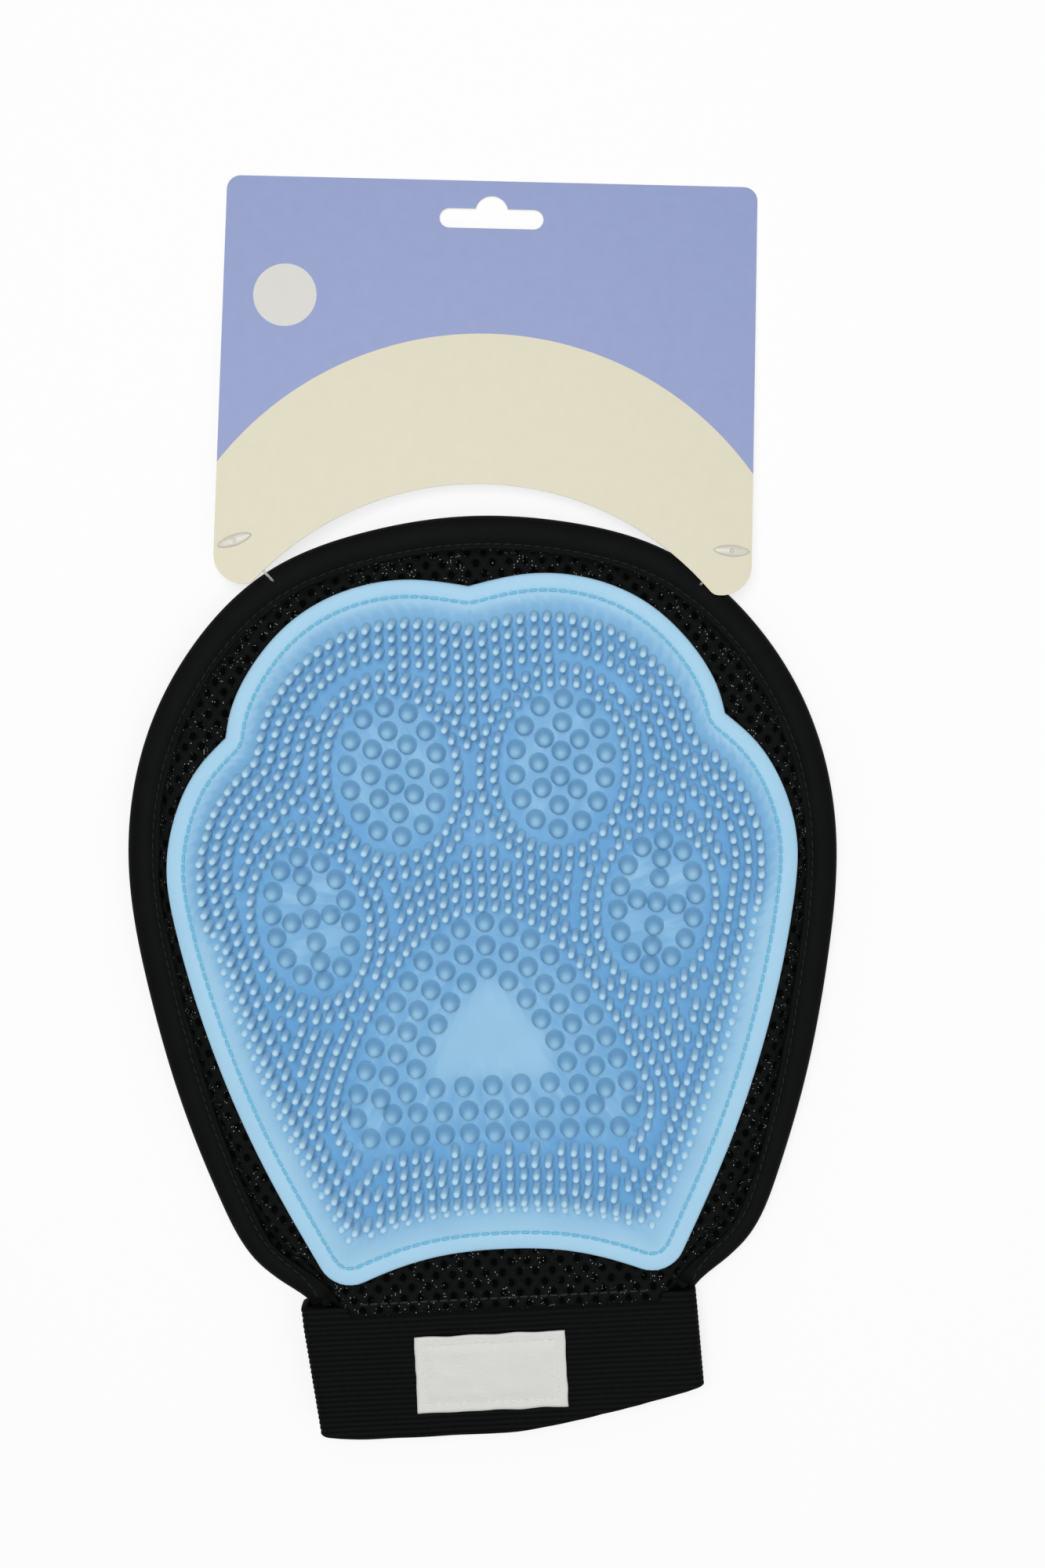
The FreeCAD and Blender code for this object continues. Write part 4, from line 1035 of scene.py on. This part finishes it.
def strand_route(side):
    """From the paddle, through the card and under its edge, then down through the binding to the bar."""
    card = card_frame()
    hole = card.inverted() @ middle_of(f"{side}_tag_paddle")
    bar = middle_of(f"{side}_tag_t_bar")
    return [card @ Vector((hole.x, hole.y, 0.9)), card @ Vector((hole.x, hole.y, -0.3)),
            card @ Vector((hole.x, hole.y, -0.5)), Vector((bar.x, bar.y, BINDING_HIGH.z + 0.9)),
            Vector((bar.x, bar.y, BINDING_HIGH.z)), bar]


def tag_strand(side, material):
    """The strand as a smooth tube that bends between the card and the mitt."""
    route = strand_route(side)
    curve = bpy.data.curves.new(f"{side}_strand_line", "CURVE")
    curve.dimensions = "3D"
    curve.bevel_depth = STRAND * MM
    curve.bevel_resolution = 2
    curve.use_fill_caps = True
    line = curve.splines.new("NURBS")
    line.points.add(len(route) - 1)
    for point, spot in zip(line.points, route):
        point.co = (*(spot * MM), 1)
    line.order_u = 3
    line.use_endpoint_u = True
    line.resolution_u = 8
    holder = bpy.data.objects.new(f"{side}_strand_line", curve)
    bpy.context.scene.collection.objects.link(holder)
    bpy.context.view_layer.update()
    mesh = bpy.data.meshes.new_from_object(holder.evaluated_get(bpy.context.evaluated_depsgraph_get()))
    bpy.data.objects.remove(holder)
    bm = bmesh.new()
    bm.from_mesh(mesh)
    bpy.data.meshes.remove(mesh)
    bmesh.ops.remove_doubles(bm, verts=bm.verts, dist=0.000001)
    bmesh.ops.recalc_face_normals(bm, faces=bm.faces)
    bmesh.ops.scale(bm, vec=(1 / MM, 1 / MM, 1 / MM), verts=bm.verts)
    piece = finished(bm, f"{side}_strand", material, [f"{side}_tag_filament"], body=None)
    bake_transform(piece)


# ---------------- stage
VIEW_CENTRE = Vector((11.6, 33.2))          # what the middle of the frame looks at
BELOW_CAMERA = Vector((20.0, 83.0))         # the point straight under the camera
EYE_LEVEL = 528.0
SEEN_LEVEL = 8.0                            # the level at which the frame is VIEW_TALL high
VIEW_TALL = 416.7
ROLL = math.radians(2.8455)
SENSOR = 36.0
FLOOR_HALF = 4.0                            # in metres, like the lamps
FLOOR_DROP = 0.0002
FLOOR_GLOW = 0.72
# each lamp: name, place, side and power
LAMPS = [("key", (-0.12, 0.34, 1.5), 0.7, 14.5), ("fill", (0.55, -0.7, 1.3), 1.4, 5.5)]
LAMP_TARGET = (0, 0.02, 0)
WORLD_LEVEL = 0.27


def stage_floor():
    """A pale floor, lit a little from itself for the camera so that only soft shadows show."""
    made = bpy.data.materials.new("floor")
    made.use_nodes = True
    tree = made.node_tree
    tree.nodes.clear()
    base = srgb(250, 250, 250)
    cloud = grain(tree, place_of(tree), 3.0)
    diffuse = node(tree, "BsdfDiffuse", Color=mix(tree, cloud, base, srgb(252, 252, 252))).outputs[0]
    light = node(tree, "Emission", Color=(1, 1, 1, 1), Strength=1.0).outputs[0]
    rays = node(tree, "LightPath").outputs
    seen = maths(tree, "MAXIMUM", rays["Is Camera Ray"], maths(tree, "MAXIMUM", rays["Is Glossy Ray"],
                                                              rays["Is Transmission Ray"]))
    glow = maths(tree, "MULTIPLY", seen, FLOOR_GLOW)
    blend = node(tree, "MixShader", _0=glow, _1=diffuse, _2=light).outputs[0]
    node(tree, "OutputMaterial", Surface=blend)
    return made


def soft_lamp(name, spot, side, power):
    """A square lamp that looks at the mitt, in metres and watts."""
    lamp = bpy.data.lights.new(name, "AREA")
    lamp.size = side
    lamp.energy = power
    holder = bpy.data.objects.new(name, lamp)
    holder.location = spot
    holder.rotation_euler = (Vector(LAMP_TARGET) - Vector(spot)).to_track_quat("-Z", "Y").to_euler()
    bpy.context.scene.collection.objects.link(holder)


def soft_world(level):
    """Even light from all round, seen as white."""
    world = bpy.data.worlds.new("studio")
    bpy.context.scene.world = world
    world.use_nodes = True
    tree = world.node_tree
    rays = node(tree, "LightPath").outputs
    seen = maths(tree, "MAXIMUM", rays["Is Camera Ray"], rays["Is Transmission Ray"])
    strength = maths(tree, "ADD", maths(tree, "MULTIPLY", seen, 1 - level), level)
    background = tree.nodes["Background"]
    background.inputs["Color"].default_value = (1, 1, 1, 1)
    tree.links.new(strength, background.inputs["Strength"])


def camera():
    """Looks straight down, framed off centre so that the pins are seen a little from above the fingertips."""
    reach = EYE_LEVEL - SEEN_LEVEL
    made = bpy.data.cameras.new("camera")
    made.lens = SENSOR * reach / VIEW_TALL
    made.sensor_width = SENSOR
    offset = Matrix.Rotation(ROLL, 2) @ (VIEW_CENTRE - BELOW_CAMERA)
    made.shift_x, made.shift_y = offset / VIEW_TALL
    holder = bpy.data.objects.new("camera", made)
    holder.location = (BELOW_CAMERA.x * MM, BELOW_CAMERA.y * MM, EYE_LEVEL * MM)
    holder.rotation_euler = (0, 0, -ROLL)
    bpy.context.scene.collection.objects.link(holder)
    bpy.context.scene.camera = holder


# ---------------- operators
class BuildStep:
    """What the operators share: each builds from the scene's sizes and colours."""

    def execute(self, context):
        self.build(context.scene.mitt_sizes, context.scene.mitt_colours)
        return {"FINISHED"}


class MITT_OT_panels(BuildStep, bpy.types.Operator):
    """Build the front and back mesh panels"""

    bl_idname = "mitt.panels"
    bl_label = "Mesh panels"

    def build(self, sizes, colours):
        material = spacer_mesh(colours)
        flat, area = panel_cut()
        for name, side, cad in (("front_mesh", 1, "front_mesh_panel"), ("back_mesh", -1, "back_mesh_panel")):
            piece = finished(mesh_panel(sizes, side), name, material, [cad])


class MITT_OT_binding(BuildStep, bpy.types.Operator):
    """Build the edge binding and its stitches"""

    bl_idname = "mitt.binding"
    bl_label = "Edge binding"

    def build(self, sizes, colours):
        bm, flat = edge_binding()
        tape = finished(bm, "folded_tape", binding_tape(colours), ["edge_binding"])
        finished(binding_stitches(sizes), "tape_stitches", thread("black_thread", colours.black_thread),
                 ["binding_stitching"])


class MITT_OT_pad(BuildStep, bpy.types.Operator):
    """Build the silicone pad with its pins and nubs, and the stitches that hold it"""

    bl_idname = "mitt.pad"
    bl_label = "Silicone pad"

    def build(self, sizes, colours):
        finished(moulded_pad(sizes), "moulded_pad", silicone(colours), ["silicone_pad"])
        finished(pad_stitches(sizes), "pad_stitches", thread("blue_thread", colours.blue_thread),
                 ["pad_stitching"])


class MITT_OT_band(BuildStep, bpy.types.Operator):
    """Build the elastic wrist band and the seams that hold it"""

    bl_idname = "mitt.band"
    bl_label = "Wrist band"

    def build(self, sizes, colours):
        band = finished(wrist_band(sizes), "ribbed_band", webbing(sizes, colours),
                        ["wrist_band"])
        thicken(band, BAND_WALL, -1)
        finished(wrist_stitches(sizes), "wrist_stitches", bpy.data.materials["black_thread"],
                 ["wrist_seam_stitching"])


class MITT_OT_label(BuildStep, bpy.types.Operator):
    """Build the woven label and its stitches"""

    bl_idname = "mitt.label"
    bl_label = "Woven label"

    def build(self, sizes, colours):
        label = finished(woven_label(), "satin_label", satin(colours), ["woven_label"])
        thicken(label, LABEL_HIGH.z - LABEL_LOW.z, -1)
        finished(label_stitches(sizes), "label_stitches", thread("white_thread", srgb(236, 236, 232)),
                 ["label_stitching"])


class MITT_OT_card(BuildStep, bpy.types.Operator):
    """Finish the header card with its plain print"""

    bl_idname = "mitt.card"
    bl_label = "Header card"

    def build(self, sizes, colours):
        card = frame["nodes"]["header_card"]
        card.data.materials.clear()
        card.data.materials.append(printed_card(colours))


class MITT_OT_tags(BuildStep, bpy.types.Operator):
    """Build the two clear tags that hold the card"""

    bl_idname = "mitt.tags"
    bl_label = "Tags"

    def build(self, sizes, colours):
        material, milky = clear_plastic("clear_tag", 0.8), clear_plastic("milky_tag", 0.35)
        for side in ("left", "right"):
            finished(tag_paddle(side), f"{side}_paddle", milky, [f"{side}_tag_paddle"],
                     body="header_card")
            finished(tag_bar(side), f"{side}_bar", material, [f"{side}_tag_t_bar"])
            tag_strand(side, material)


class MITT_OT_stage(BuildStep, bpy.types.Operator):
    """Set the floor, the lamps and the camera"""

    bl_idname = "mitt.stage"
    bl_label = "Stage"

    def build(self, sizes, colours):
        bm = bmesh.new()
        bmesh.ops.create_grid(bm, x_segments=1, y_segments=1, size=FLOOR_HALF)
        bmesh.ops.translate(bm, vec=(0, 0, -FLOOR_DROP), verts=bm.verts)
        mesh = bpy.data.meshes.new("floor")
        bm.to_mesh(mesh)
        bm.free()
        mesh.materials.append(stage_floor())
        floor = bpy.data.objects.new("floor", mesh)
        bpy.context.scene.collection.objects.link(floor)
        for lamp in LAMPS:
            soft_lamp(*lamp)
        soft_world(WORLD_LEVEL)
        camera()
        bpy.context.scene.view_settings.view_transform = "Standard"


class MITT_PT_panel(bpy.types.Panel):
    """Lists the mitt's sizes, colours and pieces"""

    bl_idname = "MITT_PT_panel"
    bl_label = "Pet grooming mitt"
    bl_space_type = "VIEW_3D"
    bl_region_type = "UI"
    bl_category = "Mitt"

    def draw(self, context):
        for group in (context.scene.mitt_sizes, context.scene.mitt_colours):
            column = self.layout.column()
            for name in group.__annotations__:
                column.prop(group, name)
        for operator in OPERATORS:
            self.layout.operator(operator.bl_idname)


OPERATORS = (MITT_OT_panels, MITT_OT_binding, MITT_OT_pad, MITT_OT_band, MITT_OT_label, MITT_OT_card,
             MITT_OT_tags, MITT_OT_stage)
CLASSES = (MittSizes, MittColours, *OPERATORS, MITT_PT_panel)


def register():
    for item in CLASSES:
        bpy.utils.register_class(item)
    bpy.types.Scene.mitt_sizes = bpy.props.PointerProperty(type=MittSizes)
    bpy.types.Scene.mitt_colours = bpy.props.PointerProperty(type=MittColours)


def unregister():
    del bpy.types.Scene.mitt_colours
    del bpy.types.Scene.mitt_sizes
    for item in reversed(CLASSES):
        bpy.utils.unregister_class(item)


def main():
    register()
    bpy.ops.mitt.panels()
    bpy.ops.mitt.binding()
    bpy.ops.mitt.pad()
    bpy.ops.mitt.band()
    bpy.ops.mitt.label()
    bpy.ops.mitt.card()
    bpy.ops.mitt.tags()
    bpy.ops.mitt.stage()


if __name__ == "__main__":
    main()
